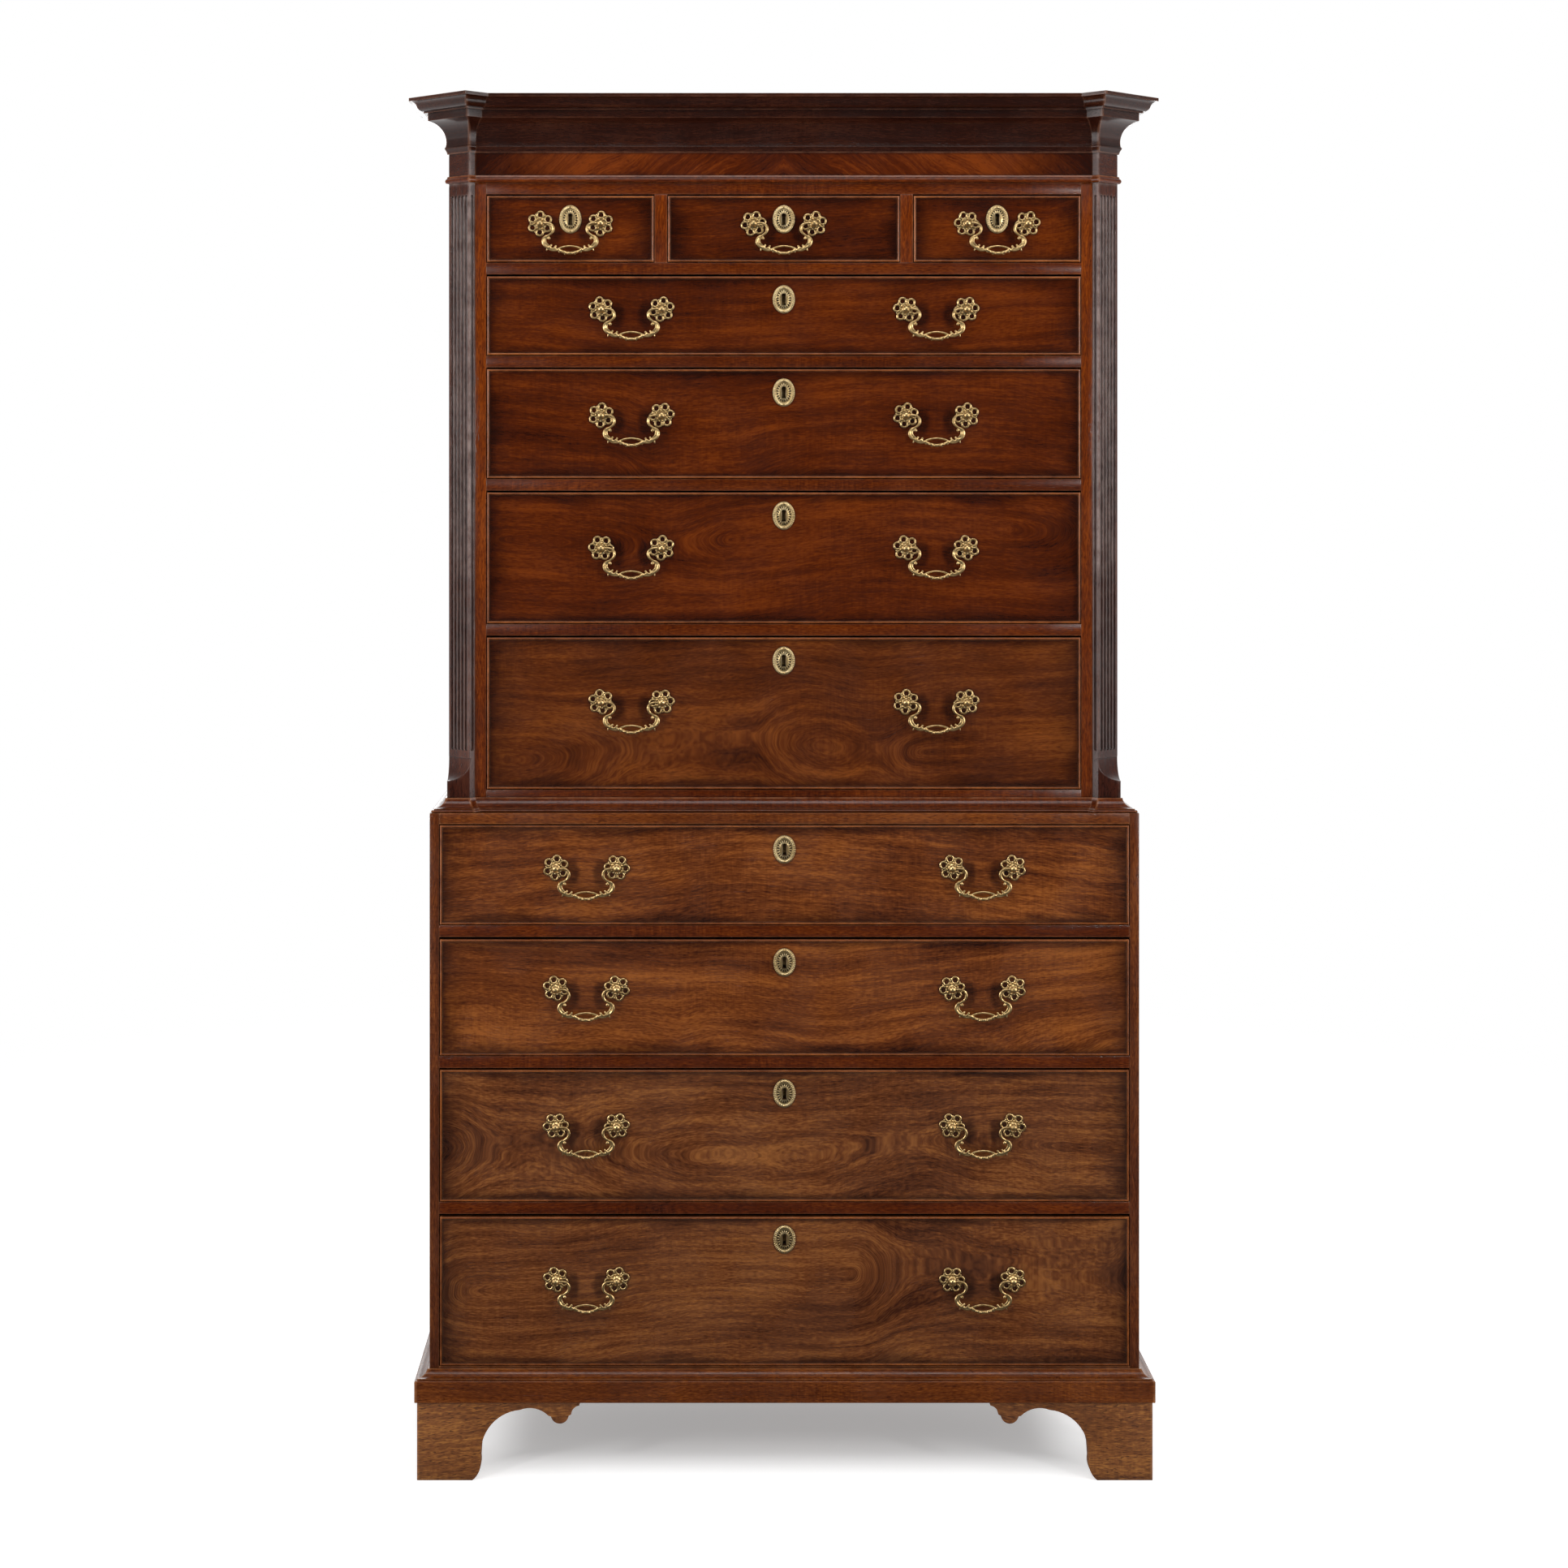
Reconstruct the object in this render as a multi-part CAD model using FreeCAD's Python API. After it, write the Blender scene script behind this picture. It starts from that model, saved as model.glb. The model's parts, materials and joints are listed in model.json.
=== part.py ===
import FreeCAD, Part

import math
import os

from FreeCAD import Matrix, Placement, Vector

# Chest on chest.  An upper case with three short drawers over four long ones, canted fluted corners, a
# frieze and a cornice stands on a lower case with four long drawers, a base moulding and bracket feet.
# Millimetres.  X runs to the right, Y to the back and Z up.  The origin is on the floor, midway between
# the sides, and midway between the foremost corner of the cornice and the back of the chest.

# Lower case
LOWER_WIDTH = 989.0
LOWER_DEPTH = 530.0
LOWER_SIDE = 13.5
LOWER_TOP = 15.3
LOWER_BOTTOM = 20.0
LOWER_RAIL = 16.8
LOWER_DRAWERS = (211.9, 186.5, 165.7, 140.6)  # heights of the openings, lowest first
FOOT_HEIGHT = 108.0
BASE_RISE = 45.6  # from the top of the feet to the floor of the lowest drawer
PLINTH_THICK = 22.0

# Upper case
UPPER_WIDTH = 944.0
UPPER_SIDE = 16.0
UPPER_STILE = 16.0
UPPER_TOP = 16.5
UPPER_BOTTOM = 18.0
UPPER_RAIL = 16.6
FIRST_RAIL = 29.5  # the rail under the lowest upper drawer, its foot hidden by the waist moulding
UPPER_DRAWERS = (216.1, 187.0, 156.3, 114.1)
SHORT_DRAWER = 95.7
MIDDLE_DRAWER = 327.0  # width of the middle short drawer's opening
DIVIDER = 18.0
PILASTER_SPAN = 38.5  # from the stile to the side of the case
PILASTER_DEPTH = 45.0
ARRIS_STAND = 7.0  # how far the pilaster's arris stands in front of the stiles
FRIEZE_THICK = 22.0
FRIEZE_RISE = 113.4  # the frieze frame, most of it behind the cornice

# Boards inside both cases
RAIL_DEPTH = 70.0
RUNNER_WIDTH = 35.0
DUST_BOARD = 8.0
DUST_DROP = 4.0  # the dust boards lie this far below the tops of the runners
GUIDE_HEIGHT = 26.0
BACK_BOARD = 12.0
BACK_BOARDS = 5
STOP_WIDTH = 40.0
STOP_DEPTH = 18.0
STOP_HEIGHT = 4.0
STOP_GAP = 0.3

# Drawers
DRAWER_GAP = 1.0  # beside and under each drawer front
TOP_GAPS = {  # above the long drawer fronts, which have sunk as their sides wore down
    "lower_drawer_4": 3.6,
    "lower_drawer_3": 2.4,
    "lower_drawer_2": 3.0,
    "lower_drawer_1": 1.5,
    "upper_drawer_4": 2.4,
    "upper_drawer_3": 2.5,
    "upper_drawer_2": 2.3,
    "upper_drawer_1": 2.8,
}
SHORT_TOP_GAP = 2.0
RUN_GAP = 0.3  # under each drawer side
FRONT_THICK = 22.0
LAP = 8.0  # wood left in front of the dovetails
SIDE_THICK = 11.0
REAR_THICK = 11.0
BOTTOM_THICK = 7.0
BOTTOM_LIFT = 8.0
GROOVE = 5.0
SIDE_DROP = 4.0  # the drawer sides are this much lower than the front
REAR_DROP = 9.0
REAR_GAP = 8.0  # between a closed drawer and the backboards
TAIL_PITCH = 42.0
TAIL_SLOPE = 1.0 / 6.0
PIN_SHARE = 0.34  # share of each pitch that the pin between two tails takes at its narrow side
COCKBEAD = 3.0
COCKBEAD_PROUD = 2.3
COCKBEAD_LET_IN = 6.0

# Mouldings: how far each one reaches out from the face that carries it
BASE_REACH = 19.5
BASE_BAND = 30.4
BASE_EASE = 1.6  # rounding of the band's two edges
BASE_STEP = 3.2  # from the band's face back to the fillet over it
BASE_FILLET = 2.4
BASE_OGEE = 12.4  # from the band up to the top of the ogee
OGEE_MIDDLE = (11.4, 4.6)  # back from the band's face, up from the band
OGEE_TOP_REACH = 2.6
WAIST_REACH = 20.5
WAIST_HEIGHT = 19.0
WAIST_BEAD = 3.8  # height of the bead at the foot
WAIST_NOSE = 1.8  # depth of the bead's rounding
WAIST_STEP = 3.4  # from the bead's nose back to the fillet
WAIST_FILLET = 1.8
WAIST_COVE_STEP = 4.6  # from the bead's nose back to the cove
WAIST_COVE_MIDDLE = (13.2, 9.4)  # back from the bead's nose, up from the foot
WAIST_TOP_REACH = 2.4
WAIST_TOP_FILLET = 1.6
NECK_REACH = 5.3
NECK_HEIGHT = 10.0
NECK_FILLET_REACH = 2.1
NECK_NOSE = 3.6  # height of the bead's nose over its foot
NECK_SHOULDER = (2.9, 7.2)
FRIEZE_SHOW = 31.6  # the plain frieze between the neck bead and the bed bead
BED_HEIGHT = 10.4
BED_REACH = 5.9  # the bed bead between frieze and cove
BED_FILLET = (2.2, 2.8, 2.6)  # reach at its foot and at its top, and height
BED_HOLLOW = ((4.25, 5.4), (5.5, 7.2))  # middle and end of the hollow under the bead
BED_NOSE = 8.8
BED_TOP_REACH = 4.5
COVE_HEIGHT = 36.6
COVE_MIDDLE = (18.6, 11.4)  # back from the corona's face, down from its foot
COVE_END = (3.6, 1.4)
CORONA_REACH = 28.8
CORONA_DRIP = 0.6  # the corona's foot hangs this much below its level
CORONA_HEIGHT = 9.7
CYMA_HEIGHT = 16.0
CYMA_STEPS = (5.5, 8.2)  # reach of the two fillets under the cyma, from the corona's face
CYMA_FILLET = 2.7
CYMA_HOLLOW = ((12.6, 5.7), (10.4, 9.7))  # back from the top's edge, up from the first fillet
CYMA_ROUND = ((7.6, 1.8), (1.4, 0.0))  # back from the top's edge, down from the cyma's top
CORNICE_REACH = 54.6
TOP_FILLET = 4.6

# Flutes of the pilasters
FLUTES = 5
FLUTE_PITCH = 7.4
FLUTE_RADIUS = 2.7
RETURN_FLUTE_RADIUS = 2.4
FLUTE_TOP = 17.0  # plain wood over the flutes
FLUTE_FOOT = 10.0  # plain wood between the flutes and the tongue
CABLE_TOP = 337.0  # the flutes are filled with round cables up to this height in the upper case
CABLE_SHARE = 0.8  # radius of a cable as a share of its flute's
TONGUE_TOP = 74.0  # where the scooped tongue starts, above the foot of the upper case
TONGUE_STEP = 1.5

# Bracket feet
FOOT_STAND = 16.0
FOOT_THICK = 22.0
FOOT_LENGTH = 226.6
FOOT_TOE = 76.9
# Up from the toe: distance past the toe and height.  Along the lobes: distance before the wing's end and
# distance below the top of the foot.
ANKLE = ((8.0, 9.5), (11.3, 29.8))
SHIN = (12.6, 48.0)
ARCH = ((26.0, 77.0), 66.0)
ARCH_END_DROP = 10.4
WING_NECK = ((57.0, 10.2), (44.1, 18.6))
LOBE_FILLET = (40.7, 19.4)
LOBE = ((28.5, 29.4), (16.1, 18.6))
SECOND_FILLET = (12.5, 16.6)
SECOND_LOBE = ((8.6, 7.8), (1.5, 4.4))
GLUE_BLOCK = 42.0
REAR_TOE = 55.0
REAR_BRACKET = 88.0

# Brass
LOWER_HANDLE_X = 276.0
UPPER_HANDLE_X = 213.8
HANDLE_RISE = 0.57  # height of the pivots as a share of the drawer's opening
LOCK_DROP = 35.0  # from the top of the opening to the middle of the escutcheon
HANDLE_CENTRES = 85.0
PIVOT_STAND = 12.0
POST_RADIUS = 2.5
POST_HOLE_GAP = 0.1
BALL_RADIUS = 5.0
COLLAR_RADIUS = 5.5
COLLAR_HEIGHT = 1.8
NECK_RADIUS = 3.2
PIN_RADIUS = 1.5
PIN_GAP = 0.05
PIN_END_GAP = 0.3
PIN_REACH = 0.2  # the pin goes this far past the middle of the ball
WIRE_RADIUS = 2.1
KNUCKLE = 0.3  # the knobs on the bail are this much fatter than its wire
# Bail, hanging: middle and end of each arc of its line, as distance in from the post and height
BAIL_SCROLL = ((15.0, -2.9), (19.3, -9.4))
BAIL_WAIST = ((17.0, -14.8), (11.8, -17.4))
BAIL_SWELL = ((6.9, -19.6), (5.2, -24.6))
BAIL_SPUR = ((8.3, -31.6), (14.0, -35.4))
BAIL_BOW_END = ((20.75, -36.6), (27.5, -36.2))
BAIL_CURL = (15.0, -20.2)
SPUR_LENGTH = 4.0
SPUR_TIP = 0.9
SPUR_LEAN = 0.35
BOW_THICK = 4.2
BOW_HIGH = -30.6
BOW_LOW = -45.0
SLOT_INSET = 5.0  # from the end of the bow to the end of its slot
SLOT_END = -36.8
SLOT_HIGH = -33.6
SLOT_LOW = -38.4
ROSE_THICK = 2.0
ROSE_DISC = 8.5
PETALS = 6
PETAL_RING = 12.1
PETAL_RADIUS = 6.15
PETAL_HOLE = 3.5
NUT_SIZE = 9.0
NUT_THICK = 4.0
THREAD_END = 2.0
PLATE_WIDTH = 31.0
PLATE_HEIGHT = 39.4
PLATE_THICK = 1.8
PIERCINGS = 7  # on each side of the keyhole
PIERCING_FAN = 128.0  # degrees
PIERCING_INNER = 0.36  # where a piercing starts and ends, as shares of the way to the plate's edge
PIERCING_OUTER = 0.76
PIERCING_TAIL = 0.4
PIERCING_HEAD = 1.1
KEYHOLE_HEIGHT = 16.0
KEYHOLE_TOP = 4.6
KEYHOLE_WAIST = 3.2
KEYHOLE_FOOT = 5.2
BRASS_PIN_HEAD = 1.4
BRASS_PIN_SHANK = 0.7
BRASS_PIN_LENGTH = 9.0
LOCK_WIDTH = 60.0
LOCK_BELOW = 15.0
LOCK_THICK = 9.0

# Levels worked out from the sizes above
LOWER_FLOOR = FOOT_HEIGHT + BASE_RISE
LOWER_CEILING = LOWER_FLOOR + sum(LOWER_DRAWERS) + LOWER_RAIL * (len(LOWER_DRAWERS) - 1)
WAIST = LOWER_CEILING + LOWER_TOP
UPPER_FLOOR = WAIST + FIRST_RAIL
SHORT_FLOOR = UPPER_FLOOR + sum(UPPER_DRAWERS) + UPPER_RAIL * len(UPPER_DRAWERS)
UPPER_CEILING = SHORT_FLOOR + SHORT_DRAWER
NECK = UPPER_CEILING + UPPER_TOP
BED = NECK + NECK_HEIGHT + FRIEZE_SHOW

# Planes worked out from the sizes above
SET_BACK = (LOWER_WIDTH - UPPER_WIDTH) / 2
BACK = (LOWER_DEPTH - SET_BACK + math.sqrt(2) * CORNICE_REACH) / 2
BOARDS_FRONT = BACK - BACK_BOARD
LOWER_FRONT = BACK - LOWER_DEPTH
ARRIS_FRONT = LOWER_FRONT + SET_BACK
UPPER_FRONT = ARRIS_FRONT + ARRIS_STAND
PILASTER_BACK = ARRIS_FRONT + PILASTER_DEPTH
LOWER_HALF = LOWER_WIDTH / 2
LOWER_INSIDE = LOWER_HALF - LOWER_SIDE
UPPER_HALF = UPPER_WIDTH / 2
UPPER_INSIDE = UPPER_HALF - UPPER_SIDE
PILASTER_INNER = UPPER_HALF - PILASTER_SPAN
ARRIS = PILASTER_INNER + ARRIS_STAND
CANT = UPPER_HALF - ARRIS
UPPER_OPENING = PILASTER_INNER - UPPER_STILE
HANDLE_HALF = HANDLE_CENTRES / 2


def box(x0, x1, y0, y1, z0, z1):
    """Board between two planes on each axis."""
    return Part.makeBox(x1 - x0, y1 - y0, z1 - z0, Vector(x0, y0, z0))


def mirrored(shape):
    """The same shape on the other side of the chest."""
    return shape.mirror(Vector(0, 0, 0), Vector(1, 0, 0))


def pair(shape):
    """A shape and its mirror image."""
    return [shape, mirrored(shape)]


def moved(shape, x, y, z):
    """Copy of a shape, moved."""
    copy = shape.copy()
    copy.translate(Vector(x, y, z))
    return copy


def plan_prism(points, z0, z1):
    """Upright prism over a polygon of (x, y) points."""
    corners = [Vector(x, y, z0) for x, y in points]
    face = Part.Face(Part.makePolygon(corners + corners[:1]))
    return face.extrude(Vector(0, 0, z1 - z0))


def profile(start, *steps):
    """Face in the XZ plane.  A step is the next corner, or a pair: the middle and the end of an arc."""
    first = Vector(start[0], 0, start[1])
    here = first
    edges = []
    for step in steps:
        if isinstance(step[0], tuple):  # a pair of points
            middle, end = (Vector(x, 0, z) for x, z in step)
            edges.append(Part.Arc(here, middle, end).toShape())
        else:
            end = Vector(step[0], 0, step[1])
            edges.append(Part.makeLine(here, end))
        here = end
    if here.distanceToPoint(first) > 0:
        edges.append(Part.makeLine(here, first))
    return Part.Face(Part.Wire(edges))


def to_front(shape):
    """Turns a shape that was built lying on its back so that its top faces the front."""
    turned = shape.copy()
    turned.rotate(Vector(0, 0, 0), Vector(1, 0, 0), 90)
    return turned


def save(node, solids):
    """Writes the solids of one sub-part."""
    Part.makeCompound(solids).exportStep(f"parts/{node}.step")


def outward(start, end):
    """Unit vector square to a run of a plan path, to the right of the way it goes."""
    along = (end - start).normalize()
    return Vector(along.y, -along.x, 0)


def mitre_corner(path, index, reach, closed):
    """Corner of a plan path, moved out by reach from both of the faces that meet there."""
    count = len(path)
    here = Vector(*path[index % count], 0)
    faces = []
    if closed or index > 0:
        faces.append(outward(Vector(*path[(index - 1) % count], 0), here))
    if closed or index < count - 1:
        faces.append(outward(here, Vector(*path[(index + 1) % count], 0)))
    if len(faces) == 1:
        return here + faces[0] * reach
    share = reach / (1 + faces[0].dot(faces[1]))
    return here + (faces[0] + faces[1]) * share


def mitred(path, section, closed=False):
    """Lengths of a moulding along a plan path.  The section's X is its reach, its Z its height."""
    bounds = section.BoundBox
    near, far = bounds.XMin, bounds.XMax
    spare = max(abs(near), abs(far)) + 1
    runs = len(path) if closed else len(path) - 1
    lengths = []
    for index in range(runs):
        start = Vector(*path[index], 0)
        end = Vector(*path[(index + 1) % len(path)], 0)
        out = outward(start, end)
        along = (end - start).normalize()
        first = start - along * spare
        bar = section.extrude(Vector(0, start.distanceToPoint(end) + 2 * spare, 0))
        bar.Placement = Placement(
            Matrix(out.x, along.x, 0, first.x, out.y, along.y, 0, first.y, 0, 0, 1, 0, 0, 0, 0, 1)
        )
        corners = [
            mitre_corner(path, index, near, closed),
            mitre_corner(path, index, far, closed),
            mitre_corner(path, index + 1, far, closed),
            mitre_corner(path, index + 1, near, closed),
        ]
        wedge = plan_prism([(corner.x, corner.y) for corner in corners], bounds.ZMin, bounds.ZMax)
        lengths += bar.common(wedge).Solids
    return lengths


def upper_path(cant):
    """Faces of the upper case in plan, left to right, with its front corners canted or, at 0, square."""
    left = [
        (-UPPER_HALF, BACK),
        (-UPPER_HALF, ARRIS_FRONT + cant),
        (-ARRIS, ARRIS_FRONT),
        (-PILASTER_INNER, UPPER_FRONT),
    ]
    return left + [(-x, y) for x, y in reversed(left)]


def corner_post(cant, z0, z1):
    """Right corner of the upper case, canted or, at 0, square in front, with its bevelled inner return."""
    points = [
        (PILASTER_INNER, UPPER_FRONT),
        (ARRIS, ARRIS_FRONT),
        (UPPER_HALF, ARRIS_FRONT + cant),
        (UPPER_HALF, PILASTER_BACK),
        (PILASTER_INNER, PILASTER_BACK),
    ]
    return plan_prism(points, z0, z1)


# ---------------------------------------------------------------- drawers

def drawer_places():
    """Name, left, right, floor, ceiling, face plane and handle centres of every drawer."""
    places = []
    z = LOWER_FLOOR
    for index, height in enumerate(LOWER_DRAWERS):
        name = f"lower_drawer_{len(LOWER_DRAWERS) - index}"
        spots = (-LOWER_HANDLE_X, LOWER_HANDLE_X)
        places.append((name, -LOWER_INSIDE, LOWER_INSIDE, z, z + height, LOWER_FRONT, spots))
        z += height + LOWER_RAIL
    z = UPPER_FLOOR
    for index, height in enumerate(UPPER_DRAWERS):
        name = f"upper_drawer_{len(UPPER_DRAWERS) - index}"
        spots = (-UPPER_HANDLE_X, UPPER_HANDLE_X)
        places.append((name, -UPPER_OPENING, UPPER_OPENING, z, z + height, UPPER_FRONT, spots))
        z += height + UPPER_RAIL
    near = MIDDLE_DRAWER / 2
    short = (
        ("short_drawer_left", -UPPER_OPENING, -near - DIVIDER),
        ("short_drawer_middle", -near, near),
        ("short_drawer_right", near + DIVIDER, UPPER_OPENING),
    )
    for name, x0, x1 in short:
        places.append((name, x0, x1, SHORT_FLOOR, UPPER_CEILING, UPPER_FRONT, ((x0 + x1) / 2,)))
    return places


def pivot_height(z0, z1):
    """Height of the bail pivots of a drawer in the opening from z0 to z1."""
    return z0 + (z1 - z0) * HANDLE_RISE


def tails(x0, x1, root, tip, z0, z1):
    """Dovetails of a drawer side: narrow at the root plane, wide at the tip plane."""
    count = max(2, round((z1 - z0) / TAIL_PITCH))
    pitch = (z1 - z0) / count
    spread = abs(tip - root) * TAIL_SLOPE
    half = pitch * (1 - PIN_SHARE) / 2
    prisms = []
    for index in range(count):
        middle = z0 + pitch * (index + 0.5)
        corners = [
            Vector(x0, root, middle - half + spread),
            Vector(x0, tip, middle - half),
            Vector(x0, tip, middle + half),
            Vector(x0, root, middle + half - spread),
        ]
        face = Part.Face(Part.makePolygon(corners + corners[:1]))
        prisms.append(face.extrude(Vector(x1 - x0, 0, 0)))
    return prisms


def cockbeads(x0, x1, z0, z1, face):
    """Four mitred beads, let into the edges of a drawer front and standing proud of its face."""
    nose = COCKBEAD / 2
    section = profile(
        (-COCKBEAD, -COCKBEAD_LET_IN),
        (0, -COCKBEAD_LET_IN),
        (0, COCKBEAD_PROUD - nose),
        ((-nose, COCKBEAD_PROUD), (-COCKBEAD, COCKBEAD_PROUD - nose)),
    )
    frame = [(x0, z0), (x1, z0), (x1, z1), (x0, z1)]
    return [moved(to_front(bead), 0, face, 0) for bead in mitred(frame, section, closed=True)]


def keyhole(depth_front, depth_back):
    """Cutter for a keyhole: a round eye over a waisted slot, lying on its back."""
    top = KEYHOLE_HEIGHT / 2
    eye = top - KEYHOLE_TOP / 2
    outline = [
        Vector(-KEYHOLE_WAIST / 2, eye, -depth_back),
        Vector(-KEYHOLE_FOOT / 2, -top, -depth_back),
        Vector(KEYHOLE_FOOT / 2, -top, -depth_back),
        Vector(KEYHOLE_WAIST / 2, eye, -depth_back),
    ]
    height = depth_front + depth_back
    slot = Part.Face(Part.makePolygon(outline + outline[:1])).extrude(Vector(0, 0, height))
    round_eye = Part.makeCylinder(KEYHOLE_TOP / 2, height, Vector(0, eye, -depth_back))
    return slot.fuse(round_eye)


def drawer_wood(x0, x1, z0, z1, high, face, spots):
    """Front up to the height high, four cockbeads, two sides, back and bottom of one drawer."""
    left, right = x0 + DRAWER_GAP, x1 - DRAWER_GAP
    low = z0 + DRAWER_GAP
    inner = face + FRONT_THICK
    rear = BOARDS_FRONT - REAR_GAP
    side_low, side_high = z0 + RUN_GAP, high - SIDE_DROP
    bottom_low = side_low + BOTTOM_LIFT
    bottom_high = bottom_low + BOTTOM_THICK
    rear_high = high - REAR_DROP

    bottom = box(
        left + SIDE_THICK - GROOVE,
        right - SIDE_THICK + GROOVE,
        inner - GROOVE,
        rear,
        bottom_low,
        bottom_high,
    )
    front_tails = []
    sides = []
    rear_tails = []
    for side_left, side_right in ((left, left + SIDE_THICK), (right - SIDE_THICK, right)):
        ahead = tails(side_left, side_right, inner, face + LAP, max(low, bottom_high), side_high)
        behind = tails(side_left, side_right, rear - REAR_THICK, rear, bottom_high, rear_high)
        board = box(side_left, side_right, inner, rear - REAR_THICK, side_low, side_high)
        foot = box(side_left, side_right, rear - REAR_THICK, rear, side_low, bottom_high)
        board = board.fuse(ahead + behind + [foot]).removeSplitter()
        sides += board.cut(bottom).Solids
        front_tails += ahead
        rear_tails += behind

    shoulder = box(left, right, face + COCKBEAD_LET_IN, inner, low, high)
    panel = box(
        left + COCKBEAD, right - COCKBEAD, face, face + COCKBEAD_LET_IN, low + COCKBEAD, high - COCKBEAD
    )
    front = shoulder.fuse(panel).removeSplitter()
    holes = [bottom] + front_tails
    pivot = pivot_height(z0, z1)
    for spot in spots:
        for x in (spot - HANDLE_HALF, spot + HANDLE_HALF):
            radius = POST_RADIUS + POST_HOLE_GAP
            hole = Part.makeCylinder(radius, FRONT_THICK + 2, Vector(x, face - 1, pivot), Vector(0, 1, 0))
            holes.append(hole)
    middle = (x0 + x1) / 2
    lock_z = z1 - LOCK_DROP
    holes.append(moved(to_front(keyhole(1, FRONT_THICK - LOCK_THICK)), middle, face, lock_z))
    holes.append(lock_case(middle, face, lock_z, high))
    holes += [moved(pin, middle, face, lock_z) for pin in plate_pins()]
    front = front.cut(holes)

    back = box(left, right, rear - REAR_THICK, rear, bottom_high, rear_high).cut(rear_tails)
    beads = cockbeads(left, right, low, high, face)
    return front.Solids + beads + sides + back.Solids + [bottom]


def lock_case(middle, face, lock_z, high):
    """Lock let into the back of a drawer front, up to its top edge."""
    half = LOCK_WIDTH / 2
    inner = face + FRONT_THICK
    return box(middle - half, middle + half, inner - LOCK_THICK, inner, lock_z - LOCK_BELOW, high)


# ---------------------------------------------------------------- brass

def rose():
    """Openwork flower behind each post: a disc with a ring of looped petals."""
    disc = Part.makeCylinder(ROSE_DISC, ROSE_THICK)
    petals = []
    holes = [Part.makeCylinder(POST_RADIUS + PIN_GAP, ROSE_THICK)]
    for index in range(PETALS):
        angle = 2 * math.pi * index / PETALS + math.pi / 2
        centre = Vector(PETAL_RING * math.cos(angle), PETAL_RING * math.sin(angle), 0)
        petals.append(Part.makeCylinder(PETAL_RADIUS, ROSE_THICK, centre))
        holes.append(Part.makeCylinder(PETAL_HOLE, ROSE_THICK, centre))
    return to_front(disc.fuse(petals).removeSplitter().cut(holes).Solids[0])


def post():
    """Threaded post with a collar on the rose and a ball that carries the bail's pin."""
    ball_meets_neck = PIVOT_STAND - math.sqrt(BALL_RADIUS**2 - NECK_RADIUS**2)
    thread = -(FRONT_THICK + NUT_THICK + THREAD_END)
    collar_top = ROSE_THICK + COLLAR_HEIGHT
    section = profile(
        (0, thread),
        (POST_RADIUS, thread),
        (POST_RADIUS, ROSE_THICK),
        (COLLAR_RADIUS, ROSE_THICK),
        (COLLAR_RADIUS, collar_top),
        (NECK_RADIUS, collar_top + COLLAR_HEIGHT),
        (NECK_RADIUS, ball_meets_neck),
        ((BALL_RADIUS, PIVOT_STAND), (0, PIVOT_STAND + BALL_RADIUS)),
    )
    turned = to_front(section.revolve(Vector(0, 0, 0), Vector(0, 0, 1), 360))
    bore = Part.makeCylinder(
        PIN_RADIUS + PIN_GAP,
        BALL_RADIUS + PIN_REACH + PIN_END_GAP + 1,
        Vector(PIN_REACH + PIN_END_GAP, -PIVOT_STAND, 0),
        Vector(-1, 0, 0),
    )
    return turned.cut(bore).Solids[0]


def nut():
    """Six-sided nut on the thread, against the back of the drawer front."""
    radius = NUT_SIZE / math.sqrt(3)
    points = [(radius * math.cos(k * math.pi / 3), radius * math.sin(k * math.pi / 3)) for k in range(6)]
    body = plan_prism(points, -NUT_THICK, 0)
    bore = Part.makeCylinder(POST_RADIUS + PIN_GAP, NUT_THICK, Vector(0, 0, -NUT_THICK))
    return moved(to_front(body.cut(bore).Solids[0]), 0, FRONT_THICK, 0)


def plate_pins():
    """Two domed pins that hold the escutcheon, above and below its keyhole."""
    pins = []
    for side in (-1, 1):
        height = side * (PLATE_HEIGHT / 2 - 2 * BRASS_PIN_HEAD)
        foot = Vector(0, 0, PLATE_THICK - BRASS_PIN_LENGTH)
        shank = Part.makeCylinder(BRASS_PIN_SHANK, BRASS_PIN_LENGTH, foot)
        head = Part.makeSphere(BRASS_PIN_HEAD, Vector(0, 0, PLATE_THICK), Vector(0, 0, 1), 0, 90)
        pins.append(moved(to_front(shank.fuse(head).removeSplitter().Solids[0]), 0, 0, height))
    return pins


def escutcheon():
    """Oval plate with a keyhole and a fan of drop-shaped piercings on each side."""
    tall, wide = PLATE_HEIGHT / 2, PLATE_WIDTH / 2
    rim = Part.Ellipse(Vector(0, tall, 0), Vector(wide, 0, 0), Vector(0, 0, 0))
    plate = Part.Face(Part.Wire(rim.toShape())).extrude(Vector(0, 0, PLATE_THICK))
    cutters = [keyhole(PLATE_THICK, 0)]
    fan = math.radians(PIERCING_FAN)
    for side in (-1, 1):
        for index in range(PIERCINGS):
            turn = -fan / 2 + fan * index / (PIERCINGS - 1)
            towards = Vector(side * math.cos(turn), math.sin(turn), 0)
            edge = 1 / math.sqrt((towards.x / wide) ** 2 + (towards.y / tall) ** 2)
            inner, outer = PIERCING_INNER * edge, PIERCING_OUTER * edge
            across = Vector(-towards.y, towards.x, 0)
            corners = [
                towards * inner + across * PIERCING_TAIL,
                towards * inner - across * PIERCING_TAIL,
                towards * outer - across * PIERCING_HEAD,
                towards * outer + across * PIERCING_HEAD,
            ]
            outline = Part.Face(Part.makePolygon(corners + corners[:1]))
            cutters.append(outline.extrude(Vector(0, 0, PLATE_THICK)))
            cutters.append(Part.makeCylinder(PIERCING_HEAD, PLATE_THICK, towards * outer))
    flat = to_front(plate.cut(cutters).Solids[0])
    return flat.cut(plate_pins()).Solids[0]


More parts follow.
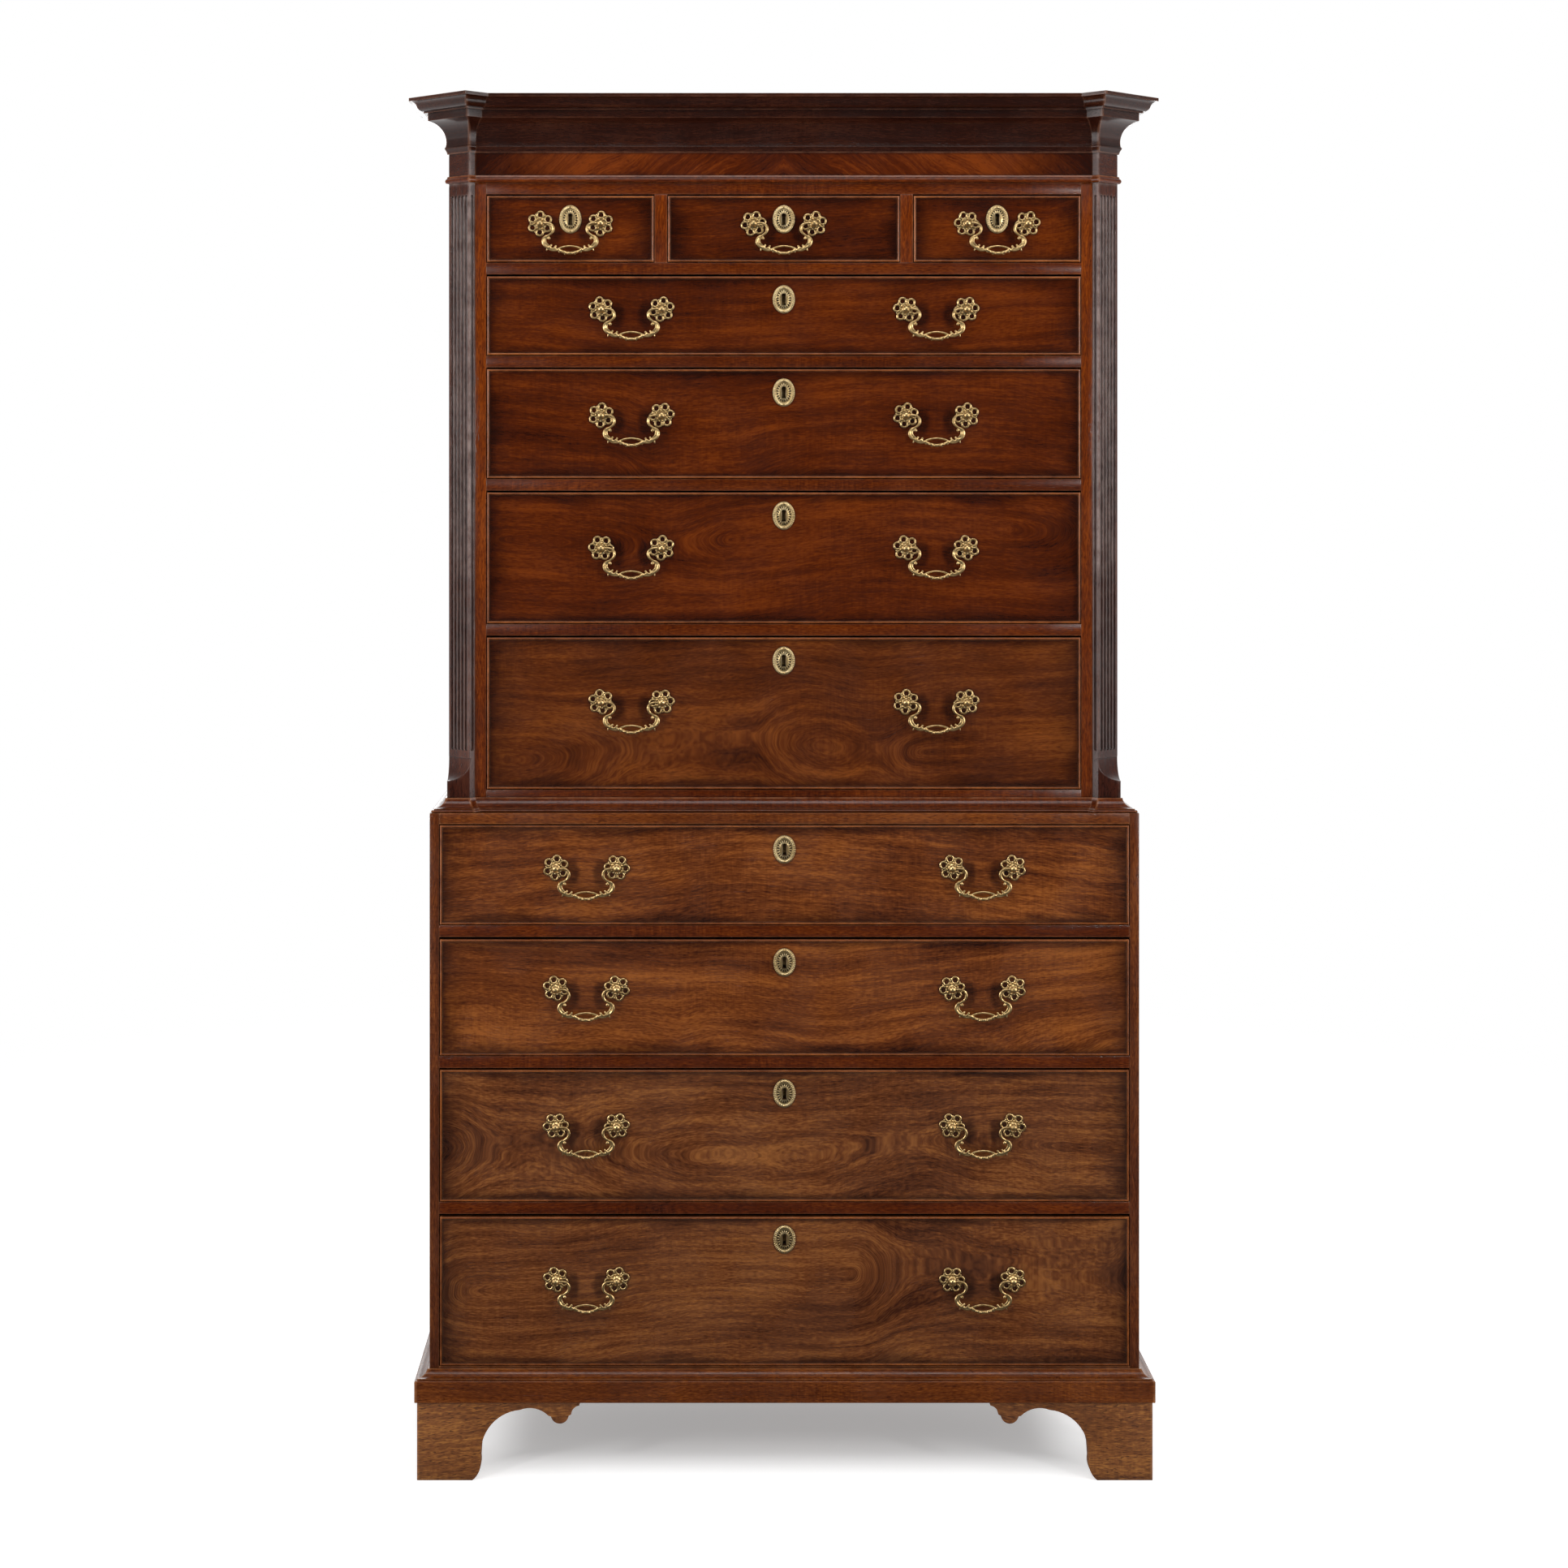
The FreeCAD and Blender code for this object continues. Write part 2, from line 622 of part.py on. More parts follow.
def rod(start, middle, end):
    """Round rod along an arc in the XZ plane."""
    points = [Vector(x, 0, z) for x, z in (start, middle, end)]
    arc = Part.Arc(*points)
    tangent = arc.toShape().tangentAt(arc.FirstParameter)
    circle = Part.Wire(Part.Circle(points[0], tangent, WIRE_RADIUS).toShape())
    return Part.Wire(arc.toShape()).makePipe(Part.Face(circle))


def knob(x, z):
    """Small knob where two rods of the bail meet."""
    return Part.makeSphere(WIRE_RADIUS + KNUCKLE, Vector(x, 0, z))


def beside_post(point):
    """Place on the bail's right half of a point given by its distance in from the post."""
    inward, height = point
    return HANDLE_HALF - inward, height


def bail():
    """Swan-necked bail, hanging, with its pivot line along X through the origin."""
    rod_end = HANDLE_HALF - BALL_RADIUS - PIN_END_GAP
    here = (rod_end, 0)
    half = []
    for middle, end in (BAIL_SCROLL, BAIL_WAIST, BAIL_SWELL, BAIL_SPUR, BAIL_BOW_END):
        half.append(rod(here, beside_post(middle), beside_post(end)))
        here = beside_post(end)
        half.append(knob(*here))
    half.append(knob(*beside_post(BAIL_CURL)))
    pin_length = HANDLE_HALF + PIN_REACH - rod_end + WIRE_RADIUS
    pin_start = Vector(rod_end - WIRE_RADIUS, 0, 0)
    half.append(Part.makeCylinder(PIN_RADIUS, pin_length, pin_start, Vector(1, 0, 0)))
    spur_x, spur_z = beside_post(BAIL_SPUR[1])
    spur_way = Vector(SPUR_LEAN, 0, -1)
    half.append(Part.makeCone(WIRE_RADIUS, SPUR_TIP, SPUR_LENGTH, Vector(spur_x, 0, spur_z), spur_way))

    end_x, end_z = here
    bow = profile(
        (-end_x, end_z - WIRE_RADIUS),
        ((0, BOW_LOW), (end_x, end_z - WIRE_RADIUS)),
        (end_x, end_z + WIRE_RADIUS),
        ((0, BOW_HIGH), (-end_x, end_z + WIRE_RADIUS)),
    )
    slot_x = end_x - SLOT_INSET
    slot = profile(
        (-slot_x, SLOT_END),
        ((0, SLOT_LOW), (slot_x, SLOT_END)),
        ((0, SLOT_HIGH), (-slot_x, SLOT_END)),
    )
    plate = moved(bow.cut(slot).extrude(Vector(0, BOW_THICK, 0)), 0, -BOW_THICK / 2, 0)
    pieces = half + [mirrored(piece) for piece in half]
    return plate.fuse(pieces).removeSplitter().Solids[0]


def drawer_brass(x0, x1, z0, z1, high, face, spots, patterns):
    """Roses, posts, nuts, escutcheon, pins and lock of one drawer."""
    flower, left_post, fastening, plate, pins = patterns
    pivot = pivot_height(z0, z1)
    middle = (x0 + x1) / 2
    lock_z = z1 - LOCK_DROP
    solids = []
    for spot in spots:
        for side in (-1, 1):
            upright = left_post if side == 1 else mirrored(left_post)
            for piece in (flower, upright, fastening):
                solids.append(moved(piece, spot + side * HANDLE_HALF, face, pivot))
    for piece in [plate] + pins:
        solids.append(moved(piece, middle, face, lock_z))
    solids.append(lock_case(middle, face, lock_z, high))
    return solids


def make_drawers():
    """Wood, brass and bails of every drawer, each in its own node."""
    patterns = (rose(), post(), nut(), escutcheon(), plate_pins())
    handle = bail()
    for name, x0, x1, z0, z1, face, spots in drawer_places():
        high = z1 - TOP_GAPS.get(name, SHORT_TOP_GAP)
        save(name, drawer_wood(x0, x1, z0, z1, high, face, spots))
        save(f"{name}_brasses", drawer_brass(x0, x1, z0, z1, high, face, spots, patterns))
        for spot, node in zip(spots, bail_names(name, spots)):
            save(node, [moved(handle, spot, face - PIVOT_STAND, pivot_height(z0, z1))])


def bail_names(name, spots):
    """Node names of a drawer's bails, left one first."""
    if len(spots) == 1:
        return [f"{name}_bail"]
    return [f"{name}_bail_left", f"{name}_bail_right"]


# ---------------------------------------------------------------- lower case

def back_boards(half, z0, z1):
    """Upright boards side by side across the back."""
    width = 2 * half / BACK_BOARDS
    edges = [-half + width * index for index in range(BACK_BOARDS)]
    return [box(x, x + width, BOARDS_FRONT, BACK, z0, z1) for x in edges]


def drawer_stops(x0, x1, z, face, count):
    """Small blocks behind a closed drawer's front, evenly spaced between x0 and x1."""
    y0 = face + FRONT_THICK + STOP_GAP
    stops = []
    for index in range(count):
        middle = x0 + (x1 - x0) * (2 * index + 1) / (2 * count)
        half = STOP_WIDTH / 2
        stops.append(box(middle - half, middle + half, y0, y0 + STOP_DEPTH, z, z + STOP_HEIGHT))
    return stops


def make_lower_case():
    """Carcass of the lower case."""
    side = box(LOWER_INSIDE, LOWER_HALF, LOWER_FRONT, BACK, FOOT_HEIGHT, WAIST)
    save("lower_side_right", [side])
    save("lower_side_left", [mirrored(side)])
    under = LOWER_FLOOR - LOWER_BOTTOM
    bottom = box(-LOWER_INSIDE, LOWER_INSIDE, LOWER_FRONT, BOARDS_FRONT, under, LOWER_FLOOR)
    plinth_back = LOWER_FRONT + PLINTH_THICK
    plinth = box(-LOWER_INSIDE, LOWER_INSIDE, LOWER_FRONT, plinth_back, FOOT_HEIGHT, under)
    top = box(-LOWER_INSIDE, LOWER_INSIDE, LOWER_FRONT, BOARDS_FRONT, LOWER_CEILING, WAIST)
    save("lower_top_and_bottom_boards", [bottom, plinth, top])
    save("lower_back_boards", back_boards(LOWER_INSIDE, FOOT_HEIGHT, WAIST))

    rails = []
    inner_boards = []
    rail_back = LOWER_FRONT + RAIL_DEPTH
    runner_inner = LOWER_INSIDE - RUNNER_WIDTH
    z = LOWER_FLOOR
    for height in LOWER_DRAWERS:
        inner_boards += drawer_stops(-LOWER_INSIDE, LOWER_INSIDE, z, LOWER_FRONT, 2)
        z += height
        if z < LOWER_CEILING - LOWER_RAIL / 2:
            rails.append(box(-LOWER_INSIDE, LOWER_INSIDE, LOWER_FRONT, rail_back, z, z + LOWER_RAIL))
            inner_boards += pair(
                box(runner_inner, LOWER_INSIDE, rail_back, BOARDS_FRONT, z, z + LOWER_RAIL)
            )
            dust_top = z + LOWER_RAIL - DUST_DROP
            inner_boards.append(
                box(-runner_inner, runner_inner, rail_back, BOARDS_FRONT, dust_top - DUST_BOARD, dust_top)
            )
            z += LOWER_RAIL
    save("lower_drawer_rails", rails)
    save("lower_dust_boards", inner_boards)


def base_section():
    """Section of the base moulding: a deep band with a small ogee over it."""
    band = FOOT_HEIGHT + BASE_BAND
    ease = BASE_EASE
    bulge = ease * (1 - 1 / math.sqrt(2))
    fillet_reach = BASE_REACH - BASE_STEP
    ogee = (BASE_REACH - OGEE_MIDDLE[0], band + OGEE_MIDDLE[1])
    top = band + BASE_OGEE
    return profile(
        (0, FOOT_HEIGHT),
        (BASE_REACH - ease, FOOT_HEIGHT),
        ((BASE_REACH - bulge, FOOT_HEIGHT + bulge), (BASE_REACH, FOOT_HEIGHT + ease)),
        (BASE_REACH, band - ease),
        ((BASE_REACH - bulge, band - bulge), (BASE_REACH - ease, band)),
        (fillet_reach, band),
        (fillet_reach, band + BASE_FILLET),
        (ogee, (OGEE_TOP_REACH, top)),
        (0, top),
    )


def waist_section():
    """Section of the waist moulding: a cove over a fillet and a bead."""
    top = WAIST + WAIST_HEIGHT
    bead = WAIST + WAIST_BEAD
    fillet = bead + WAIST_FILLET
    cove = (WAIST_REACH - WAIST_COVE_MIDDLE[0], WAIST + WAIST_COVE_MIDDLE[1])
    return profile(
        (0, WAIST),
        (WAIST_REACH - WAIST_NOSE, WAIST),
        ((WAIST_REACH, WAIST + WAIST_BEAD / 2), (WAIST_REACH - WAIST_NOSE, bead)),
        (WAIST_REACH - WAIST_STEP, bead),
        (WAIST_REACH - WAIST_STEP, fillet),
        (WAIST_REACH - WAIST_COVE_STEP, fillet),
        (cove, (WAIST_TOP_REACH, top - WAIST_TOP_FILLET)),
        (WAIST_TOP_REACH, top),
        (0, top),
    )


def past_toe(point):
    """Place on a foot of a point given by its distance past the toe and its height."""
    return FOOT_TOE + point[0], point[1]


def before_end(point):
    """Place on a foot of a point given by its distances before the wing's end and below the foot's top."""
    return FOOT_LENGTH - point[0], FOOT_HEIGHT - point[1]


def foot_outline():
    """Face of a bracket foot, from its outer corner at X 0, with a lobed wing."""
    return profile(
        (0, 0),
        (FOOT_TOE, 0),
        [past_toe(point) for point in ANKLE],
        past_toe(SHIN),
        (past_toe(ARCH[0]), (FOOT_TOE + ARCH[1], FOOT_HEIGHT - ARCH_END_DROP)),
        [before_end(point) for point in WING_NECK],
        before_end(LOBE_FILLET),
        [before_end(point) for point in LOBE],
        before_end(SECOND_FILLET),
        [before_end(point) for point in SECOND_LOBE],
        (FOOT_LENGTH, FOOT_HEIGHT),
        (0, FOOT_HEIGHT),
    )


def make_feet():
    """Two brackets and a glue block for each foot; the rear ones have a plain inner bracket."""
    corner = LOWER_HALF + FOOT_STAND
    front = LOWER_FRONT - FOOT_STAND
    face = foot_outline().extrude(Vector(0, FOOT_THICK, 0))
    mitre = plan_prism(
        [(0, 0), (FOOT_LENGTH, 0), (FOOT_LENGTH, FOOT_THICK), (FOOT_THICK, FOOT_THICK)], 0, FOOT_HEIGHT
    )
    wing = face.common(mitre).Solids[0]
    turned = wing.mirror(Vector(0, 0, 0), Vector(1, -1, 0))
    block_end = FOOT_THICK + GLUE_BLOCK
    block = box(FOOT_THICK, block_end, FOOT_THICK, block_end, 0, FOOT_HEIGHT)
    left = [moved(piece, -corner, front, 0) for piece in (wing, turned, block)]
    save("front_bracket_feet", left + [mirrored(piece) for piece in left])

    square_wing = face.mirror(Vector(0, 0, 0), Vector(1, -1, 0)).mirror(Vector(0, 0, 0), Vector(0, 1, 0))
    bracket = profile(
        (FOOT_THICK, 0),
        (FOOT_THICK + REAR_TOE, 0),
        (FOOT_THICK + REAR_BRACKET, FOOT_HEIGHT),
        (FOOT_THICK, FOOT_HEIGHT),
    )
    plain = bracket.extrude(Vector(0, -FOOT_THICK, 0))
    rear_block = box(FOOT_THICK, block_end, -block_end, -FOOT_THICK, 0, FOOT_HEIGHT)
    left = [moved(piece, -corner, BACK, 0) for piece in (square_wing, plain, rear_block)]
    save("rear_bracket_feet", left + [mirrored(piece) for piece in left])


# ---------------------------------------------------------------- upper case

def make_upper_case():
    """Carcass of the upper case."""
    side = box(UPPER_INSIDE, UPPER_HALF, PILASTER_BACK, BACK, WAIST, NECK)
    save("upper_side_right", [side])
    save("upper_side_left", [mirrored(side)])
    under = UPPER_FLOOR - UPPER_BOTTOM
    bottom = box(-UPPER_INSIDE, UPPER_INSIDE, PILASTER_BACK, BOARDS_FRONT, under, UPPER_FLOOR)
    front_edge = box(-UPPER_OPENING, UPPER_OPENING, UPPER_FRONT, PILASTER_BACK, UPPER_CEILING, NECK)
    top = box(-UPPER_INSIDE, UPPER_INSIDE, PILASTER_BACK, BOARDS_FRONT, UPPER_CEILING, NECK)
    save("upper_top_and_bottom_boards", [bottom, top.fuse(front_edge).removeSplitter()])
    save("upper_back_boards", back_boards(UPPER_INSIDE, WAIST, NECK))

    stile = box(UPPER_OPENING, PILASTER_INNER, UPPER_FRONT, PILASTER_BACK, WAIST, NECK)
    near = MIDDLE_DRAWER / 2
    divider = box(near, near + DIVIDER, UPPER_FRONT, UPPER_FRONT + RAIL_DEPTH, SHORT_FLOOR, UPPER_CEILING)
    first = box(-UPPER_OPENING, UPPER_OPENING, UPPER_FRONT, PILASTER_BACK, WAIST, UPPER_FLOOR)
    frame = [first] + pair(stile) + pair(divider)

    inner_boards = []
    rail_back = UPPER_FRONT + RAIL_DEPTH
    runner_inner = UPPER_OPENING - RUNNER_WIDTH + SIDE_THICK
    divider_runner = near + DIVIDER + RUNNER_WIDTH - SIDE_THICK
    guide = (UPPER_OPENING, UPPER_INSIDE)
    z = UPPER_FLOOR
    for height in UPPER_DRAWERS:
        inner_boards += drawer_stops(-UPPER_OPENING, UPPER_OPENING, z, UPPER_FRONT, 2)
        inner_boards += pair(box(*guide, PILASTER_BACK, BOARDS_FRONT, z, z + GUIDE_HEIGHT))
        z += height
        frame.append(box(-UPPER_OPENING, UPPER_OPENING, UPPER_FRONT, rail_back, z, z + UPPER_RAIL))
        inner_boards += pair(box(runner_inner, UPPER_INSIDE, rail_back, BOARDS_FRONT, z, z + UPPER_RAIL))
        dust_top = z + UPPER_RAIL - DUST_DROP
        shelf = (rail_back, BOARDS_FRONT, dust_top - DUST_BOARD, dust_top)
        if z + UPPER_RAIL < SHORT_FLOOR - UPPER_RAIL / 2:
            inner_boards.append(box(-runner_inner, runner_inner, *shelf))
        else:
            near_runner = near - RUNNER_WIDTH + SIDE_THICK
            inner_boards += pair(
                box(near_runner, divider_runner, rail_back, BOARDS_FRONT, z, z + UPPER_RAIL)
            )
            inner_boards += pair(box(divider_runner, runner_inner, *shelf))
            inner_boards.append(box(-near_runner, near_runner, *shelf))
        z += UPPER_RAIL
    inner_boards += pair(box(*guide, PILASTER_BACK, BOARDS_FRONT, SHORT_FLOOR, SHORT_FLOOR + GUIDE_HEIGHT))
    inner_boards += pair(
        box(near, near + DIVIDER, rail_back, BOARDS_FRONT, SHORT_FLOOR, SHORT_FLOOR + GUIDE_HEIGHT)
    )
    inner_boards += pair(drawer_stops(near + DIVIDER, UPPER_OPENING, SHORT_FLOOR, UPPER_FRONT, 1)[0])
    inner_boards += drawer_stops(-near, near, SHORT_FLOOR, UPPER_FRONT, 1)
    save("upper_drawer_rails", frame)
    save("upper_dust_boards", inner_boards)


def flute(x, y, z0, z1, radius):
    """Cutter for a half-round flute with round ends."""
    column = Part.makeCylinder(radius, z1 - z0, Vector(x, y, z0))
    return [column, Part.makeSphere(radius, Vector(x, y, z1)), Part.makeSphere(radius, Vector(x, y, z0))]


def make_pilasters():
    """Canted corners with flutes, cabled below, that stop on a square block with a scooped tongue."""
    tongue = WAIST + TONGUE_TOP
    block = corner_post(0, WAIST, tongue)
    # The scoop is cut along the cant, as part of an elliptical cylinder about the block's front corner.
    deep = CANT / math.sqrt(2) + TONGUE_STEP
    ellipse = Part.Ellipse(Vector(0, CANT, 0), Vector(deep, 0, 0), Vector(0, 0, 0))
    scoop = Part.Face(Part.Wire(ellipse.toShape())).extrude(Vector(0, 0, 4 * CANT))
    scoop.translate(Vector(0, 0, -2 * CANT))
    # Stand the ellipse's long axis up and point the cylinder along the cant, 45 degrees across the corner.
    scoop.rotate(Vector(0, 0, 0), Vector(1, 0, 0), 90)
    scoop.rotate(Vector(0, 0, 0), Vector(0, 0, 1), -45)
    scoop.translate(Vector(UPPER_HALF, ARRIS_FRONT, tongue))
    foot = block.cut(scoop)
    shaft = corner_post(CANT, tongue, NECK)

    top = NECK - FLUTE_TOP - FLUTE_RADIUS
    bottom = tongue + FLUTE_FOOT + FLUTE_RADIUS
    cable = WAIST + CABLE_TOP
    grooves = []
    cables = []
    centres = []
    slant = 1 / math.sqrt(2)
    for index in range(FLUTES):
        along = CANT / math.sqrt(2) + (index - (FLUTES - 1) / 2) * FLUTE_PITCH
        centres.append((ARRIS + along * slant, ARRIS_FRONT + along * slant, FLUTE_RADIUS))
    half_return = ARRIS_STAND / 2
    centres.append((PILASTER_INNER + half_return, UPPER_FRONT - half_return, RETURN_FLUTE_RADIUS))
    for x, y, radius in centres:
        grooves += flute(x, y, bottom, top, radius)
        cables.append(Part.makeCylinder(radius * CABLE_SHARE, cable - bottom, Vector(x, y, bottom)))
    shaft = shaft.cut(grooves)
    pilaster = shaft.fuse([foot] + cables).removeSplitter().Solids[0]
    save("fluted_pilasters", pair(pilaster))


def make_frieze():
    """Frame behind frieze and cornice, with the neck bead along its foot."""
    top = NECK + FRIEZE_RISE
    front = box(-PILASTER_INNER, PILASTER_INNER, UPPER_FRONT, UPPER_FRONT + FRIEZE_THICK, NECK, top)
    side = box(UPPER_INSIDE, UPPER_HALF, PILASTER_BACK, BACK, NECK, top)
    rear = box(-UPPER_INSIDE, UPPER_INSIDE, BOARDS_FRONT, BACK, NECK, top)
    section = profile(
        (0, NECK),
        (NECK_FILLET_REACH, NECK),
        ((NECK_REACH, NECK + NECK_NOSE), (NECK_SHOULDER[0], NECK + NECK_SHOULDER[1])),
        (NECK_FILLET_REACH, NECK + NECK_HEIGHT),
        (0, NECK + NECK_HEIGHT),
    )
    beads = mitred(upper_path(CANT), section)
    save("frieze", [front, rear] + pair(side) + pair(corner_post(CANT, NECK, top)) + beads)


def make_cornice():
    """Cornice in mitred lengths: bed bead, cove, corona, fillets, cyma and top fillet."""
    cove = BED + BED_HEIGHT
    corona = cove + COVE_HEIGHT
    fillet = corona + CORONA_HEIGHT
    cyma = fillet + CYMA_HEIGHT
    fillet_foot, fillet_top, fillet_height = BED_FILLET
    first_step, second_step = (CORONA_REACH + step for step in CYMA_STEPS)
    section = profile(
        (0, BED),
        (fillet_foot, BED),
        (fillet_top, BED + fillet_height),
        [(reach, BED + rise) for reach, rise in BED_HOLLOW],
        ((BED_REACH, BED + BED_NOSE), (BED_TOP_REACH, cove)),
        [(CORONA_REACH - back, corona - drop) for back, drop in (COVE_MIDDLE, COVE_END)],
        (CORONA_REACH, corona - CORONA_DRIP),
        (CORONA_REACH, fillet),
        (first_step, fillet),
        (first_step, fillet + CYMA_FILLET),
        (second_step, fillet + CYMA_FILLET),
        [(CORNICE_REACH - back, fillet + rise) for back, rise in CYMA_HOLLOW],
        [(CORNICE_REACH - back, cyma - drop) for back, drop in CYMA_ROUND],
        (CORNICE_REACH, cyma),
        (CORNICE_REACH, cyma + TOP_FILLET),
        (0, cyma + TOP_FILLET),
    )
    save("cornice", mitred(upper_path(CANT), section))


def make_lower_mouldings():
    """Base moulding round the lower case and waist moulding round the foot of the upper case."""
    lower_path = [
        (-LOWER_HALF, BACK),
        (-LOWER_HALF, LOWER_FRONT),
        (LOWER_HALF, LOWER_FRONT),
        (LOWER_HALF, BACK),
    ]
    save("base_moulding", mitred(lower_path, base_section()))
    save("waist_moulding", mitred(upper_path(0), waist_section()))


os.makedirs("parts", exist_ok=True)
make_feet()
make_lower_case()
make_lower_mouldings()
make_upper_case()
make_pilasters()
make_frieze()
make_cornice()
make_drawers()
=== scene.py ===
# %% [markdown]
# # Chest on chest
# A tall mahogany chest of the late eighteenth century: three short drawers over four long ones stand on a
# second case with four more. The frame that is loaded here holds every board, bead and fitting at its
# real size. This lesson dresses it: each board gets its own wood with the grain the right way round, and
# the cast brass, which is too fine for plain solids, is modelled over the frame's simple forms.

# %% Load the frame
import json
import math
import random

import bpy
from mathutils import Matrix, Vector


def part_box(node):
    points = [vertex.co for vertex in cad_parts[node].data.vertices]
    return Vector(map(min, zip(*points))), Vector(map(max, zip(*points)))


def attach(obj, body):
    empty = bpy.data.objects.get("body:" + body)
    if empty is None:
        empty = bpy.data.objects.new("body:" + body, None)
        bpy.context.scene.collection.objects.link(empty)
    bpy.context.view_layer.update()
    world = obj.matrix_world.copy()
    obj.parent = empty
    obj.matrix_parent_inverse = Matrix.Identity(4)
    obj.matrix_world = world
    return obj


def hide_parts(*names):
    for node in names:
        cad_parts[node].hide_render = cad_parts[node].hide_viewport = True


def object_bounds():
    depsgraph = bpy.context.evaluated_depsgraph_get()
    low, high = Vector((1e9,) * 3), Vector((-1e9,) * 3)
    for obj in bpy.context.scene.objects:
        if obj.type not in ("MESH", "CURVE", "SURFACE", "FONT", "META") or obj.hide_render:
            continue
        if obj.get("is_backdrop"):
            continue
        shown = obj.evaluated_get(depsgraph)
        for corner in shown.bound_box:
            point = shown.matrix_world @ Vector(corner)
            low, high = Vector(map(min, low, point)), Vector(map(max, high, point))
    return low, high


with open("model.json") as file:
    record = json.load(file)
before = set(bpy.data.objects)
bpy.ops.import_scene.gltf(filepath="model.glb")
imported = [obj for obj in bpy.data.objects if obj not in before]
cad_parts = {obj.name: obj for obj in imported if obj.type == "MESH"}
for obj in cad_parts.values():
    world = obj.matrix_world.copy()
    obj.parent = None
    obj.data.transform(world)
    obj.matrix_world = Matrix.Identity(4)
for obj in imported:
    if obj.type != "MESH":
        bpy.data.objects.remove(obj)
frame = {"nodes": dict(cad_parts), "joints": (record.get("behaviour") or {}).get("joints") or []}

MM = 0.001
NODES = frame["nodes"]
cad_low, cad_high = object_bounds()
print("frame", [round(v, 4) for v in cad_high - cad_low], "nodes", len(NODES))

# %% [markdown]
# ## The drawers, as the frame has them
# Everything below is placed from the boxes of the frame's nodes, so that the dressing still fits when a
# board changes size. A drawer is any node that has a node of brasses beside it.

# %% Places of the drawers
DRAWERS = sorted(name[: -len("_brasses")] for name in NODES if name.endswith("_brasses"))
BAILS = sorted(name for name in NODES if "_bail" in name)
BEAD_PROUD = 2.3 * MM  # the cockbeads stand this far in front of the drawer's face
FACE = {name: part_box(name)[0].y + BEAD_PROUD for name in DRAWERS}
print(len(DRAWERS), "drawers,", len(BAILS), "bails")


# %% Objects
def new_object(name, data):
    """Object with the given data, put into the scene."""
    made = bpy.data.objects.new(name, data)
    bpy.context.scene.collection.objects.link(made)
    return made


def activate(pieces):
    """Selects some objects and makes the first one active."""
    bpy.ops.object.select_all(action="DESELECT")
    for piece in pieces:
        piece.select_set(True)
    bpy.context.view_layer.objects.active = pieces[0]


def modified(piece, kind, **settings):
    """Gives the active object a modifier with some settings and applies it."""
    modifier = piece.modifiers.new(kind, kind)
    for key, value in settings.items():
        setattr(modifier, key, value)
    bpy.ops.object.modifier_apply(modifier=modifier.name)


# %% [markdown]
# ## Camera, light and floor
# The chest is seen square on, from a standing eye, with the lens shifted instead of tilted so that the
# corners stay upright. Tall soft boxes at the sides rake the canted corners, small key lamps make the brasses
# sparkle, and the camera's side of the room stays dim, so that the polished fronts keep their depth.

# %% Camera
EYE = Vector((-0.1261, -4.2376, 1.4126))
LENS = 65.9
SHIFT = (0.05745, -0.20497)
camera_data = bpy.data.cameras.new("camera")
camera_data.lens = LENS
camera_data.shift_x, camera_data.shift_y = SHIFT
camera = new_object("camera", camera_data)
camera.location = EYE
camera.rotation_euler = (math.pi / 2, 0, 0)
bpy.context.scene.camera = camera
bpy.context.scene.view_settings.view_transform = "Standard"
print("camera at", [round(v, 3) for v in camera.location])


# %% Lamps
def soft_box(name, place, target, width, height, power):
    """Rectangular lamp that faces a point and isn't seen itself."""
    data = bpy.data.lights.new(name, "AREA")
    data.shape = "RECTANGLE"
    data.size = width
    data.size_y = height
    data.energy = power
    lamp = new_object(name, data)
    lamp.location = place
    lamp.rotation_euler = (Vector(target) - Vector(place)).to_track_quat("-Z", "Y").to_euler()
    lamp.visible_camera = False


MIDDLE = (0, -0.1, 0.95)  # about the middle of the chest
LAMPS = {  # place, point that it faces, width, height, power in watts
    "left_soft_box": ((-2.7, -1.5, 1.35), MIDDLE, 1.2, 2.2, 22),
    "right_soft_box": ((2.7, -1.5, 1.35), MIDDLE, 1.2, 2.2, 22),
    "left_key": ((-2.3, -2.7, 1.7), MIDDLE, 0.35, 0.6, 22),
    "right_key": ((2.3, -2.7, 1.7), MIDDLE, 0.35, 0.6, 22),
    "left_strip": ((-2.6, -0.62, 1.35), (0.4, -0.22, 1.35), 0.42, 2.4, 10),
    "right_strip": ((2.6, -0.48, 1.35), (-0.4, -0.22, 1.35), 0.42, 2.4, 10),
    "top_soft_box": ((0, -1.6, 3.4), (0, 0, 0.9), 2.4, 1.2, 26),
    "rear_soft_box": ((0, 3.2, 2.2), (0, 0, 1.0), 2.4, 1.8, 40),
}
for name, values in LAMPS.items():
    soft_box(name, *values)
print(len(LAMPS), "lamps")


# %% [markdown]
# ## Tools for finishes
# A finish is a tree of small nodes, and most of them do plain sums. Each helper below adds one kind of node
# and hands back its output, so that a finish can be written and read like a formula.

# %% Nodes by name
def feed(tree, sockets, values):
    """Fills input sockets with values or with other nodes' outputs."""
    for key, value in values.items():
        if isinstance(value, bpy.types.NodeSocket):
            tree.links.new(value, sockets[key])
        else:
            sockets[key].default_value = value


def put(tree, kind, inputs=None, **settings):
    """Adds a node, makes its settings and feeds its inputs."""
    made = tree.nodes.new(kind)
    for key, value in settings.items():
        setattr(made, key, value)
    feed(tree, made.inputs, inputs or {})
    return made


def calculate(tree, operation, *values, clamp=False):
    """Output of a Math node."""
    made = put(tree, "ShaderNodeMath", dict(enumerate(values)), operation=operation, use_clamp=clamp)
    return made.outputs[0]


